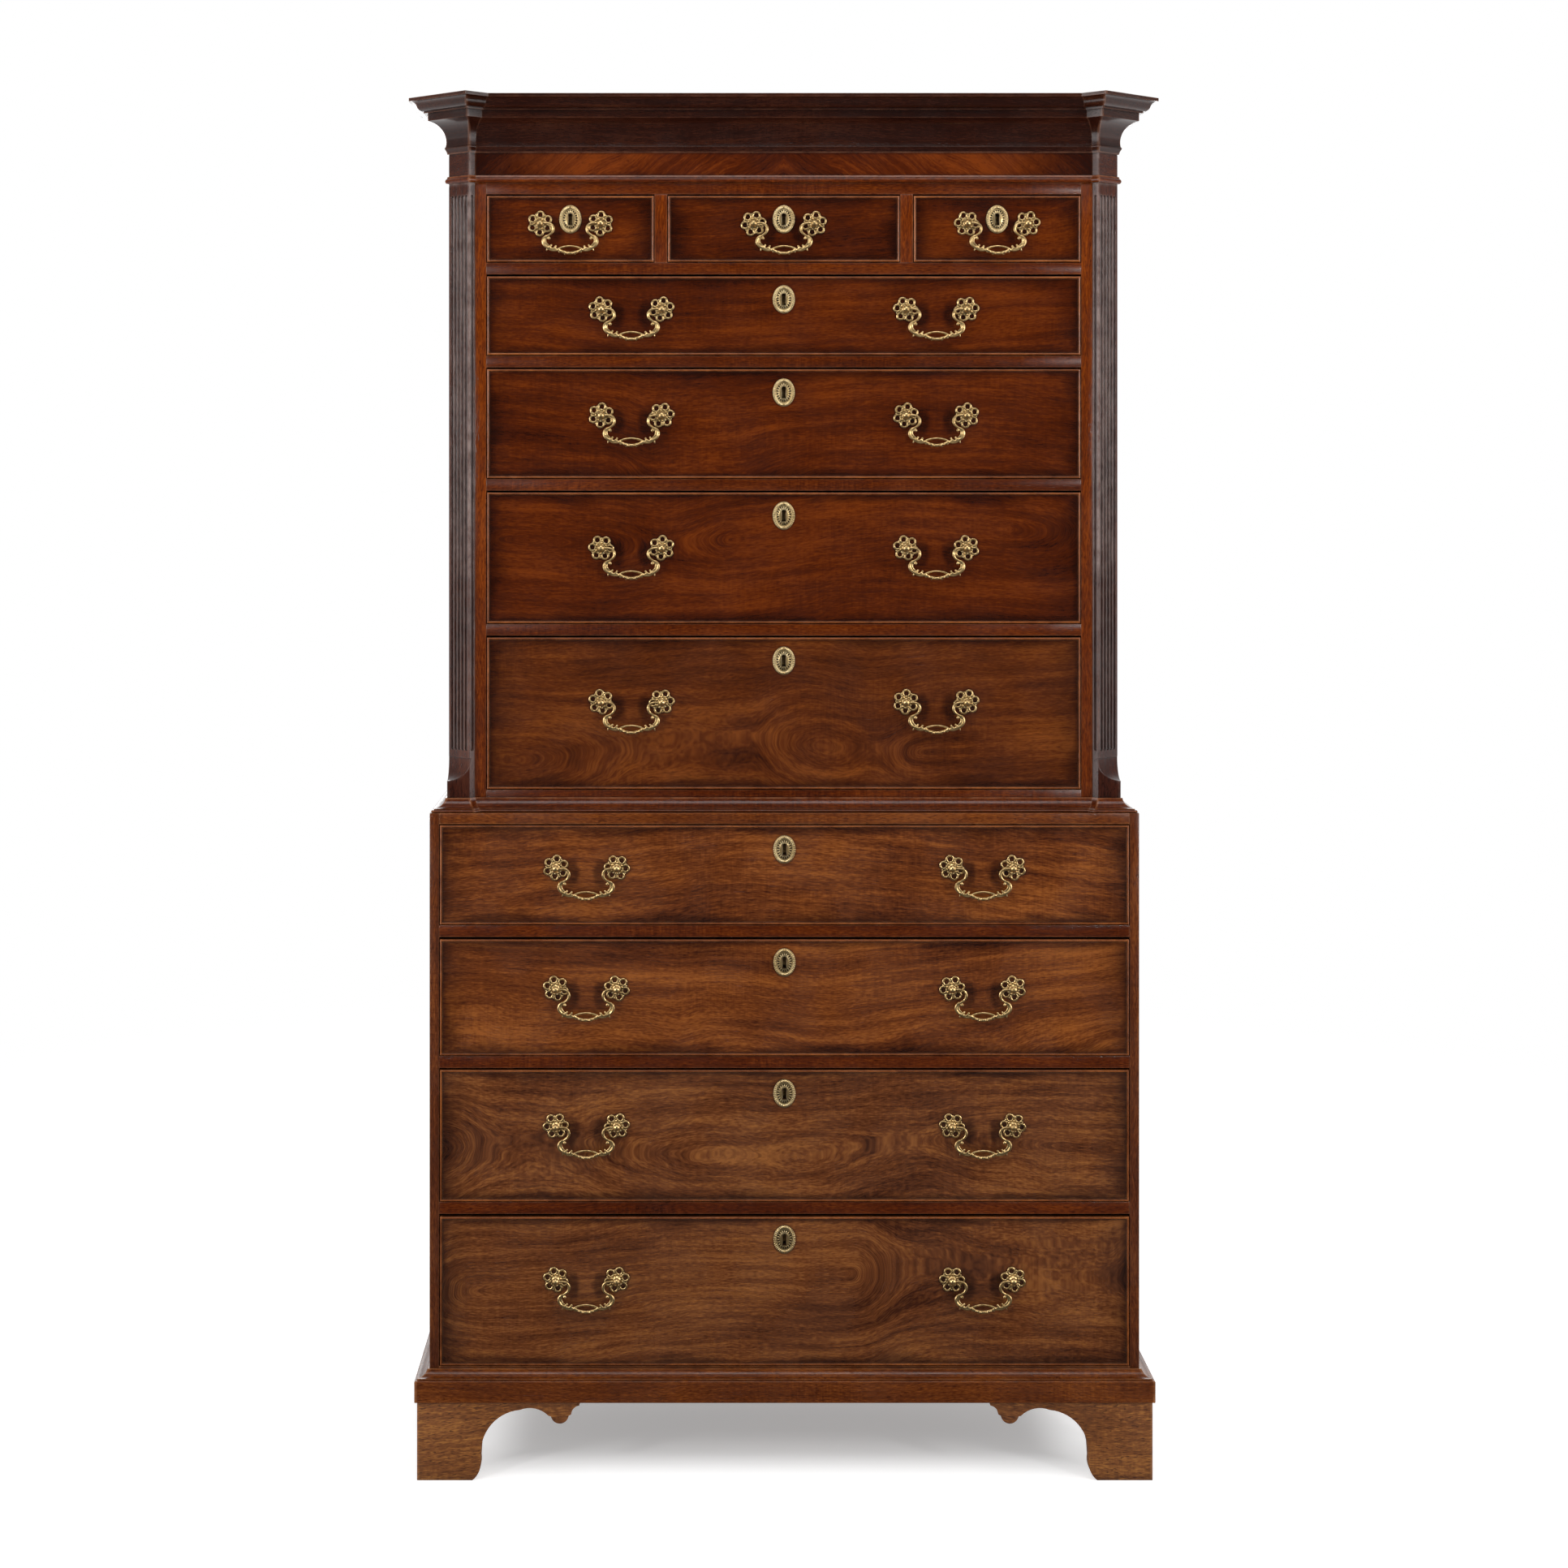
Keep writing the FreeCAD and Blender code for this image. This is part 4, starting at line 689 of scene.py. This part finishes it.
def taken_apart(node):
    """The closed solids of a CAD node as separate objects, each one merged skin."""
    whole = new_object(f"{node}_copy", NODES[node].data.copy())
    numbers = solid_numbers(whole.data)
    whole.data.materials.clear()
    for number in range(max(numbers) + 1):
        whole.data.materials.append(None)
    whole.data.polygons.foreach_set("material_index", numbers)
    edit(whole)
    if max(numbers) > 0:
        bpy.ops.mesh.separate(type="MATERIAL")
    bpy.ops.object.mode_set(mode="OBJECT")
    solids = list(bpy.context.selected_objects)
    for solid in solids:
        edit(solid)
        bpy.ops.mesh.remove_doubles(threshold=SAME_SPOT)
        bpy.ops.mesh.customdata_custom_splitnormals_clear()
        close_edit()
        solid.data.materials.clear()
    return solids


# %% Finishing a piece
def span(piece):
    """Lowest and highest corner of an object that sits at the origin."""
    corners = [Vector(corner) for corner in piece.bound_box]
    low = Vector(min(corner[axis] for corner in corners) for axis in range(3))
    high = Vector(max(corner[axis] for corner in corners) for axis in range(3))
    return low, high


def finish_piece(piece, name, body, material, bevel=0.0, angle=32):
    """Names a piece, softens its edges, gives it its material and lets it ride on its body."""
    piece.name = name
    piece.data.name = name
    piece.data.materials.clear()
    piece.data.materials.append(material)
    activate([piece])
    if bevel:
        limits = {"limit_method": "ANGLE", "angle_limit": SHARP, "use_clamp_overlap": True}
        modified(piece, "BEVEL", width=bevel, segments=2, **limits)
    bpy.ops.object.shade_smooth_by_angle(angle=math.radians(angle))
    piece.select_set(False)
    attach(piece, body)


# %% [markdown]
# ## Cast brass
# The handles are cast, chased and gilt, and two centuries have left the gold on the high places only. The
# hollows hold black wax and verdigris. The colour therefore follows the form: rays that find a nearby wall
# darken the recesses, and the arrises go pale, as rubbed gilt and as a painted highlight.

# %% Brass
BRIGHT, DULL = (0.93, 0.66, 0.31, 1), (0.44, 0.29, 0.12, 1)
BLACK_WAX = (0.022, 0.014, 0.008, 1)
WAX_COVER = 0.92
RUBBED_AND_HIGHLIGHT = (1.0, 0.81, 0.47, 1)
TARNISH_GRAIN = (230, 230, 230)
BRASS_ROUGHNESS = (0.31, 0.50)  # where it is bright, and where it is dull
BRASS_EDGES = {"Arris": 0.0009, "Corner": 0.0036}

brass, tree, shader = new_material("gilt_brass")
place = put(tree, "ShaderNodeTexCoord").outputs["Object"]
aged_and_lit = use(tree, age_and_light_group, {"Vector": place} | BRASS_EDGES)
tarnish = between(tree, noise(tree, place, TARNISH_GRAIN, 4, 0.6), 0.35, 0.7)
colour = blend(tree, tarnish, BRIGHT, DULL)
colour = blend(tree, times(tree, aged_and_lit["Grime and shade"], WAX_COVER), colour, BLACK_WAX)
# Pale arrises: rubbed gilt and a painted highlight.
colour = blend(tree, aged_and_lit["Worn and highlight"], colour, RUBBED_AND_HIGHLIGHT)
gloss = between(tree, tarnish, 0.0, 1.0, *BRASS_ROUGHNESS)
feed(tree, shader.inputs, {"Base Color": colour, "Metallic": 1.0, "Roughness": gloss})
print(brass.name, "with", len(tree.nodes), "nodes")

# %% [markdown]
# A handle is drawn with a few strands, as a modeller would roll them in wax: each strand is a curve that
# is thick in the middle and thin at its ends, with small balls where it curls. The strands of half a bail
# are mirrored, then melted into one casting by a voxel remesh.

# %% Wax tools
def settled():
    """The object just added, with its place, turn and size written into its mesh."""
    bpy.ops.object.transform_apply(location=True, rotation=True, scale=True)
    return bpy.context.object


def strand(points):
    """Round strand through points (x, z, radius) in millimetres, in the plane of the handle."""
    data = bpy.data.curves.new("strand", "CURVE")
    data.dimensions = "3D"
    data.bevel_depth = MM
    data.bevel_resolution = 3
    data.resolution_u = 8
    data.use_fill_caps = True
    line = data.splines.new("BEZIER")
    line.bezier_points.add(len(points) - 1)
    for knot, (x, z, radius) in zip(line.bezier_points, points):
        knot.co = (x * MM, 0, z * MM)
        knot.radius = radius
        knot.handle_left_type = "AUTO"
        knot.handle_right_type = "AUTO"
    activate([new_object("strand", data)])
    bpy.ops.object.convert(target="MESH")
    return bpy.context.object


def ball(x, z, radius, forward=0.0):
    """Small ball of wax, in millimetres."""
    bpy.ops.mesh.primitive_uv_sphere_add(
        segments=14, ring_count=10, radius=radius * MM, location=(x * MM, -forward * MM, z * MM)
    )
    return settled()


def joined(pieces, name):
    """Several objects as one."""
    activate(pieces)
    bpy.ops.object.join()
    whole = bpy.context.object
    whole.name = name
    return whole


def copied(pattern, name, offset, turn=0.0):
    """Copy of a pattern with its own mesh, turned about the Y axis and moved to its place."""
    mesh = pattern.data.copy()
    mesh.transform(Matrix.Translation(offset) @ Matrix.Rotation(turn, 4, "Y"))
    piece = new_object(name, mesh)
    mesh.name = name
    return piece


# %% Blanks and measures
UPRIGHT = (math.pi / 2, 0, 0)


def blank(corners, radius, thick):
    """Round plate that stands upright, with its back at zero."""
    place = (0, -thick / 2, 0)
    bpy.ops.mesh.primitive_cylinder_add(
        vertices=corners, radius=radius, depth=thick, location=place, rotation=UPRIGHT
    )
    return settled()


def pick(piece, kind, test):
    """Opens a piece in edit mode with only the faces or corners selected that pass a test."""
    edit(piece, kind)
    bpy.ops.mesh.select_all(action="DESELECT")
    bpy.ops.object.mode_set(mode="OBJECT")
    for item in piece.data.polygons if kind == "FACE" else piece.data.vertices:
        item.select = test(item)
    bpy.ops.object.mode_set(mode="EDIT")


def measured(pattern):
    """A pattern's count of faces and its size in millimetres, to print."""
    size = [round(v / MM, 1) for v in pattern.dimensions]
    return f"{pattern.name}, {len(pattern.data.polygons)} faces, {size} mm"


# %% Strands of half a bail
# Points (x, z, radius) in millimetres, from the middle of the bail and from its pins.
STRANDS = {
    "scroll": [
        (37.6, 0, 1.7), (31.0, -0.2, 1.7), (25.8, -2.6, 2.0),
        (23.6, -8.4, 2.2), (25.8, -13.8, 1.9), (31.0, -17.6, 1.5),
    ],
    "swan": [
        (29.4, -17.4, 1.3), (35.0, -19.4, 1.9), (37.9, -24.8, 2.3), (35.8, -30.8, 2.3),
        (30.0, -34.6, 2.0), (22.0, -36.4, 1.5), (15.5, -36.4, 1.4),
    ],
    "throat": [(31.5, -18.6, 0.9), (34.2, -22.6, 1.3), (33.4, -27.8, 1.3), (29.4, -31.8, 0.9)],
    "first_bud": [(31.6, -34.2, 1.5), (28.4, -33.6, 1.8), (26.2, -31.4, 1.2)],
    "second_bud": [(25.0, -36.2, 1.4), (21.8, -34.8, 1.8), (19.8, -32.8, 1.2)],
    "under_leaf": [(31.4, -35.2, 1.2), (26.4, -37.8, 1.5), (20.4, -38.4, 1.6), (15.0, -37.6, 1.4)],
    "spur": [(31.6, -35.0, 1.5), (32.4, -37.4, 1.2), (33.0, -39.0, 0.7)],
    "bow_top": [(17.0, -36.6, 1.6), (11.0, -34.0, 1.5), (5.2, -32.7, 1.35), (0.0, -32.2, 1.3)],
    "bow_foot": [(16.6, -37.8, 1.9), (11.2, -39.8, 2.3), (5.6, -41.6, 2.5), (0.0, -42.4, 2.4)],
    "bow_leaf": [(13.4, -38.4, 1.0), (8.4, -40.0, 1.4), (3.4, -41.6, 1.5), (-2.4, -43.4, 0.9)],
}
BALLS = [
    (29.6, -21.2, 2.4), (26.4, -31.0, 1.5), (20.0, -32.4, 1.5), (16.2, -37.0, 2.3), (14.8, -40.0, 1.7),
    (7.0, -43.2, 1.5), (9.6, -40.4, 1.6, 1.5), (4.4, -42.0, 1.7, 1.6), (42.0, 0, 1.6),
]  # a fourth number is how far the ball stands forward
CASTING_GRAIN = 0.42 * MM
print(len(STRANDS), "strands and", len(BALLS), "balls")

# %% Bail pattern
wax = [strand(points) for points in STRANDS.values()]
wax += [ball(*spot) for spot in BALLS]
bail_pattern = joined(wax, "bail_pattern")
modified(bail_pattern, "MIRROR", use_mirror_merge=False)
modified(bail_pattern, "REMESH", mode="VOXEL", voxel_size=CASTING_GRAIN)
modified(bail_pattern, "SMOOTH", factor=0.5, iterations=2)
print(measured(bail_pattern))

# %% [markdown]
# The rose behind each post is an open flower of six looped petals with milled rims. One loop is a torus;
# every second ring of it is swollen a little, which makes the milling, and then it is copied round. A
# stepped disc, six small curls and beads stand inside the loops.

# %% Rose pattern
PETALS = 6
PETAL_RING = 12.1 * MM
LOOP_RADIUS = 4.7 * MM
LOOP_WIRE = 1.45 * MM
MILLING = 0.30 * MM
LOOP_STEPS = 24
WIRE_SIDES = 8
ROSE_DISC = 8.6 * MM
DISC_THICK = 1.6 * MM
DISC_STEPS = ((1.4, 0.9), (1.2, 0.8), (0.8, -0.5))  # way inwards and way forward, in millimetres
ROSE_BALLS = {  # way out from the middle, radius, way forward, turn as a share of a petal's
    "curl": (7.4, 1.9, 3.2, 0.5),
    "knot": (13.6, 1.25, 1.6, 0.5),
    "seed": (8.2, 1.25, 2.4, 0.0),
}

bpy.ops.mesh.primitive_torus_add(
    major_segments=LOOP_STEPS,
    minor_segments=WIRE_SIDES,
    major_radius=LOOP_RADIUS,
    minor_radius=LOOP_WIRE,
    location=(0, -LOOP_WIRE, PETAL_RING),
    rotation=UPRIGHT,
)
loop = settled()
pick(loop, "VERT", lambda vertex: (vertex.index // WIRE_SIDES) % 2 == 0)
bpy.ops.transform.shrink_fatten(value=MILLING)
close_edit()

wax = []
for index in range(PETALS):
    turn = 2 * math.pi * index / PETALS
    wax.append(copied(loop, "petal", (0, 0, 0), turn))
    for name, (away, radius, forward, share) in ROSE_BALLS.items():
        spare = ball(0, away, radius, forward)
        wax.append(copied(spare, name, (0, 0, 0), turn + 2 * math.pi * share / PETALS))
        bpy.data.objects.remove(spare)
bpy.data.objects.remove(loop)
disc = blank(36, ROSE_DISC, DISC_THICK)
pick(disc, "FACE", lambda face: face.normal.y < -0.9)
for inset, rise in DISC_STEPS:
    bpy.ops.mesh.inset(thickness=inset * MM)
    bpy.ops.mesh.extrude_region_move(TRANSFORM_OT_translate={"value": (0, -rise * MM, 0)})
close_edit()
rose_pattern = joined([disc] + wax, "rose_pattern")
print(measured(rose_pattern))

# %% [markdown]
# The escutcheon is a pierced oval. Its rim is gadrooned: a ring of long beads that point to the middle.
# Drop-shaped piercings stand all round the keyhole, with a raised ray between each two. The plate is a
# cylinder, made oval and stepped with insets, and a Boolean cuts the openings as a piercing saw would.

# %% Escutcheon plate
PLATE_WIDE = 15.5  # half its width; all sizes of the plate are in millimetres
PLATE_TALL = 19.7
PLATE_THICK = 1.5
PLATE_STEPS = ((3.0, 0.6), (1.6, 0.1), (0.8, -0.5), (1.6, 0.4), (2.6, 1.0))  # way inwards and way forward
GADROONS = 40
PIERCINGS = 20
RAISED = (  # count of beads, their place as a share of the oval, and their size
    (GADROONS, 0.865, (2.2, 0.95, 1.15)),
    (PIERCINGS, 0.54, (2.1, 1.15, 0.7)),
)
RAISED_FORWARD = 1.75
DROP_HEAD = 0.61  # place of a piercing's head as a share of the oval
DROP_RADIUS = 1.15
TAIL_HALF = 0.35
LIP_WIRE = 0.55
LIP_FORWARD = 2.3
LIP_SPREAD = (1.22, 1.05)  # size of the lip beside the keyhole's own
KEYHOLE = [(0, 8.4), (-2.7, 7.5), (-3.2, 5.2), (-2.7, 3.0), (-2.5, -4.0), (-3.1, -8.2)]


def oval(angle, share=1.0):
    """Point on the plate's outline, or on a smaller oval inside it."""
    return Vector((math.cos(angle) * PLATE_WIDE * share, 0, math.sin(angle) * PLATE_TALL * share))


plate = blank(72, 1, PLATE_THICK * MM)
plate.scale = (PLATE_WIDE * MM, 1, PLATE_TALL * MM)
settled()
pick(plate, "FACE", lambda face: face.normal.y < -0.9)
for inset, rise in PLATE_STEPS:
    bpy.ops.mesh.inset(thickness=inset * MM)
    bpy.ops.transform.translate(value=(0, -rise * MM, 0))
close_edit()
print("plate with", len(plate.data.polygons), "faces")

# %% Piercings
outline = [Vector((x, 0, z)) for x, z in KEYHOLE]
outline += [Vector((-x, 0, z)) for x, z in reversed(KEYHOLE[1:])]


def cutter(points):
    """Upright prism through the plate over a closed outline in millimetres."""
    mesh = bpy.data.meshes.new("cutter")
    count = len(points)
    rims = [(p.x * MM, y * MM, p.z * MM) for y in (-8, 4) for p in points]
    faces = [tuple(range(count)), tuple(range(2 * count - 1, count - 1, -1))]
    faces += [(i, (i + 1) % count, count + (i + 1) % count, count + i)[::-1] for i in range(count)]
    mesh.from_pydata(rims, [], faces)
    made = new_object("cutter", mesh)
    edit(made)
    bpy.ops.mesh.normals_make_consistent(inside=False)
    close_edit()
    return made


def drop(angle):
    """Outline of one piercing: a narrow tail near the keyhole and a round head towards the rim."""
    tail, head = oval(angle, 0.38 + 0.16 * abs(math.sin(angle))), oval(angle, DROP_HEAD)
    along = (head - tail).normalized()
    across = Vector((-along.z, 0, along.x))
    points = [tail + across * TAIL_HALF]
    for step in range(7):
        sweep = math.pi * step / 6
        points.append(head + across * DROP_RADIUS * math.cos(sweep) + along * DROP_RADIUS * math.sin(sweep))
    return points + [tail - across * TAIL_HALF]


saws = [cutter(outline)]
for index in range(PIERCINGS):
    saws.append(cutter(drop(2 * math.pi * (index + 0.5) / PIERCINGS)))
saw = joined(saws, "saw")
activate([plate])
modified(plate, "BOOLEAN", object=saw, solver="EXACT", use_self=True)
bpy.data.objects.remove(saw)
print(PIERCINGS, "piercings and a keyhole")

# %% Beads, rays and lip
wax = [plate]
for count, share, size in RAISED:
    for index in range(count):
        spot = oval(2 * math.pi * index / count, share)
        bpy.ops.mesh.primitive_uv_sphere_add(
            segments=8,
            ring_count=6,
            radius=MM,
            location=(spot.x * MM, -RAISED_FORWARD * MM, spot.z * MM),
            rotation=(0, -math.atan2(spot.z, spot.x), 0),
            scale=size,
        )
        wax.append(settled())
lip = bpy.data.curves.new("lip", "CURVE")
lip.dimensions = "3D"
lip.bevel_depth = LIP_WIRE * MM
lip.bevel_resolution = 2
line = lip.splines.new("POLY")
line.points.add(len(outline) - 1)
line.use_cyclic_u = True
for knot, spot in zip(line.points, outline):
    knot.co = (spot.x * LIP_SPREAD[0] * MM, -LIP_FORWARD * MM, spot.z * LIP_SPREAD[1] * MM, 1)
activate([new_object("lip", lip)])
bpy.ops.object.convert(target="MESH")
wax.append(bpy.context.object)
plate_pattern = joined(wax, "plate_pattern")
print(measured(plate_pattern))

# %% [markdown]
# ## Drawers
# Each drawer is a real box: a mahogany front with a lipping of four small beads, and oak sides, back and
# bottom joined with dovetails. Its boards are told apart by their sizes. The fronts of the upper case are
# redder and darker than those below, which light has bleached.

# %% Drawer boards
OAK = {grain: wood(f"drawer_oak_{grain}", "oak", grain) for grain in "xyz"}
FRONTS = {  # kind of wood, height of the heart over the middle of the front, its depth
    "lower_drawer_1": ("lower", -0.16, 0.03),
    "lower_drawer_2": ("lower", -0.11, 0.06),
    "lower_drawer_3": ("lower_brown", -0.02, 0.06),
    "lower_drawer_4": ("lower_brown", 0.02, 0.07),
    "upper_drawer_1": ("upper", 0.14, 0.03),
    "upper_drawer_2": ("upper", -0.09, 0.05),
    "upper_drawer_3": ("upper", 0.03, 0.06),
    "upper_drawer_4": ("upper_brown", -0.05, 0.06),
}
SHORT_FRONT = ("upper", 0.12, 0.05)
BEADS = {"bead_level": "x", "bead_upright": "z"}
AT_FACE = 1 * MM
BEAD_DEPTH = 12 * MM
THIN = 16 * MM


def board_role(piece, face):
    """What a board of a drawer is, told from its size and place."""
    low, high = span(piece)
    size = high - low
    if low.y < face + AT_FACE:
        if size.y > BEAD_DEPTH:
            return "front"
        return "bead_upright" if size.z > size.x else "bead_level"
    if size.x < THIN:
        return "side"
    return "bottom" if size.z < THIN else "back"


# %% Drawers
board_count = 0
for drawer in DRAWERS:
    kind, heart_rise, heart_depth = FRONTS.get(drawer, SHORT_FRONT)
    counts = {}
    beads = {role: wood(f"{drawer}_{role}_wood", "bead", way) for role, way in BEADS.items()}
    boards = taken_apart(drawer)
    for board in boards:
        role = board_role(board, FACE[drawer])
        counts[role] = counts.get(role, 0) + 1
        name = f"{drawer}_{role}_{counts[role]}"
        if role == "front":
            low, high = span(board)
            heart = ((low.z + high.z) / 2 + heart_rise, heart_depth)
            bails = [bail for bail in BAILS if bail.startswith(f"{drawer}_")]
            finish = wood(f"{drawer}_front_wood", kind, "x", border=(low, high), heart=heart, bails=bails)
            finish_piece(board, name, drawer, finish)
        elif role.startswith("bead"):
            finish_piece(board, name, drawer, beads[role], angle=60)
        else:
            finish = OAK["x"] if role in ("back", "bottom") else OAK["y"]
            finish_piece(board, name, drawer, finish)
    for board in boards:
        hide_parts(drawer)
    board_count += len(boards)
print(board_count, "drawer boards")

# %% [markdown]
# ## Carcass, mouldings and feet
# The cases are boards again. A moulding runs in mitred lengths, and its grain turns at each corner with
# the length, so a length's own box says which way it runs: the canted lengths are about as wide as they
# are deep. Each board of the backs has a wood of its own, and only the front of the frieze has the mirrored
# flame.

# %% Carcass table
CARCASS = {  # node: kind of wood, way of the grain or None for the longest side, bevel in millimetres
    "lower_side_left": ("side", "z", 0.8),
    "lower_side_right": ("side", "z", 0.8),
    "lower_top_and_bottom_boards": ("base", "x", 0.5),
    "lower_drawer_rails": ("rail", "x", 0.5),
    "upper_side_left": ("side", "z", 0.5),
    "upper_side_right": ("side", "z", 0.5),
    "upper_top_and_bottom_boards": ("rail", "x", 0.5),
    "upper_drawer_rails": ("rail", None, 0.5),
    "base_moulding": ("base", "run", 0),
    "waist_moulding": ("rail", "run", 0),
    "frieze": ("frieze", "run", 0),
    "cornice": ("cornice", "run", 0),
    "front_bracket_feet": ("foot", "foot", 0.6),
    "rear_bracket_feet": ("foot", "foot", 0.6),
    "fluted_pilasters": ("pilaster", "z", 0),
    "lower_back_boards": ("old_oak", "z", 0.8),
    "upper_back_boards": ("old_oak", "z", 0.8),
    "lower_dust_boards": ("oak", None, 0),
    "upper_dust_boards": ("oak", None, 0),
}
LONG_RUN = 1.6  # a length this many times longer than wide runs straight
OUTER_SHARE = 0.86  # a canted length further out than this share of half the width is an outer one
BEAD_TALL = 20 * MM
FRIEZE_HEART = (0.9, 0.05)
BACK_HEARTS = (-0.1, 0.3)
BACK_DEPTH = 0.03
woods = {}
print(len(CARCASS), "nodes of the carcass")


# %% Way and kind of a board
def run_of(low, high):
    """Way a length of moulding runs in plan."""
    size = high - low
    if size.x > LONG_RUN * size.y:
        return "x"
    if size.y > LONG_RUN * size.x:
        return "y"
    outer = abs(low.x + high.x) / 2 > cad_high.x * OUTER_SHARE
    left = low.x < 0
    return "falling" if outer == left else "rising"


def way_of(grain, low, high):
    """Way of a board's grain: the one of the table, or the one that its box gives."""
    size = high - low
    if grain is None:
        return "xyz"[max(range(3), key=lambda axis: size[axis])]
    if grain == "run":
        return run_of(low, high)
    if grain == "foot":
        return "x" if size.x > size.y else "y"
    return grain


def kind_of(node, kind, way, tall):
    """Kind of wood of a board, which isn't always the one of its node."""
    if node == "upper_drawer_rails" and way == "z":
        return "stile"
    if node == "frieze" and tall < BEAD_TALL:
        return "rail"
    return "pilaster" if node == "frieze" and way != "x" else kind


def shared_wood(kind, grain):
    """One wood per kind and way of the grain, made when it is first asked for."""
    if (kind, grain) not in woods:
        woods[kind, grain] = wood(f"{kind}_wood_{grain}", kind, grain)
    return woods[kind, grain]


# %% Carcass boards
for node, (kind, grain, bevel) in CARCASS.items():
    for number, board in enumerate(taken_apart(node), 1):
        low, high = box = span(board)
        way = way_of(grain, low, high)
        board_kind = kind_of(node, kind, way, high.z - low.z)
        if board_kind == "frieze":
            finish = wood("frieze_veneer", kind, "flame", border=box, heart=FRIEZE_HEART)
        elif board_kind == "old_oak":
            heart = (chance.uniform(*BACK_HEARTS), BACK_DEPTH)
            finish = wood(f"{node}_wood_{number}", kind, way, border=box, heart=heart)
        else:
            finish = shared_wood(board_kind, way)
        finish_piece(board, f"{node}_{number}", "carcass", finish, bevel * MM)
        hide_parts(node)
    print(node, number)

# %% [markdown]
# ## Brass on the drawers
# The patterns now go on the drawers. Posts, nuts, pins and locks are turned or sawn parts that the frame
# already has in full, so they are taken from it; roses, plates and bails are cast from the patterns.

# %% Telling the brasses apart
PLATE_SIZE = (28 * MM, 36 * MM)
ROUND = 5 * MM  # a rose is round to within this, and an escutcheon isn't
LOCK_SIZE = 50 * MM
POST_LENGTH = 20 * MM
NUT_SIZE = 6 * MM
ROSE_TURN = 0.5


def brass_role(size):
    """What a solid of a drawer's brasses is, told from its size."""
    if size.x > LOCK_SIZE:
        return "lock"
    if size.y > POST_LENGTH:
        return "post"
    if size.z > PLATE_SIZE[1] and size.x > PLATE_SIZE[0]:
        return "rose" if abs(size.x - size.z) < ROUND else "escutcheon"
    return "nut" if size.x > NUT_SIZE else "pin"


def cast_piece(piece, name, body, *nodes):
    """Brass finish for one casting or turning, and its place in the frame."""
    finish_piece(piece, name, body, brass, angle=50)
    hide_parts(*nodes)


# %% Brass on the drawers
brass_count = 0
for drawer in DRAWERS:
    counts = {}
    for solid in taken_apart(f"{drawer}_brasses"):
        low, high = span(solid)
        role = brass_role(high - low)
        counts[role] = counts.get(role, 0) + 1
        name = f"{drawer}_{role}_{counts[role]}"
        if role in ("rose", "escutcheon"):
            bpy.data.objects.remove(solid)
            pattern = rose_pattern if role == "rose" else plate_pattern
            turn = chance.uniform(-ROSE_TURN, ROSE_TURN) if role == "rose" else 0.0
            middle = (low + high) / 2
            solid = copied(pattern, name, (middle.x, FACE[drawer], middle.z), turn)
        cast_piece(solid, name, drawer, f"{drawer}_brasses")
        brass_count += 1
hinges = {joint["child"]: joint for joint in frame["joints"] if joint["type"] == "hinge"}
for bail in BAILS:
    pivot = Vector(hinges[bail]["pos_m"])
    cast_piece(copied(bail_pattern, f"{bail}_cast", pivot), f"{bail}_cast", bail, bail)
for pattern in (bail_pattern, rose_pattern, plate_pattern):
    bpy.data.objects.remove(pattern)
print(brass_count, "brasses and", len(BAILS), "bails")

# %% Sizes and the end
low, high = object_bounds()
print("visual", [round(v, 4) for v in high - low])
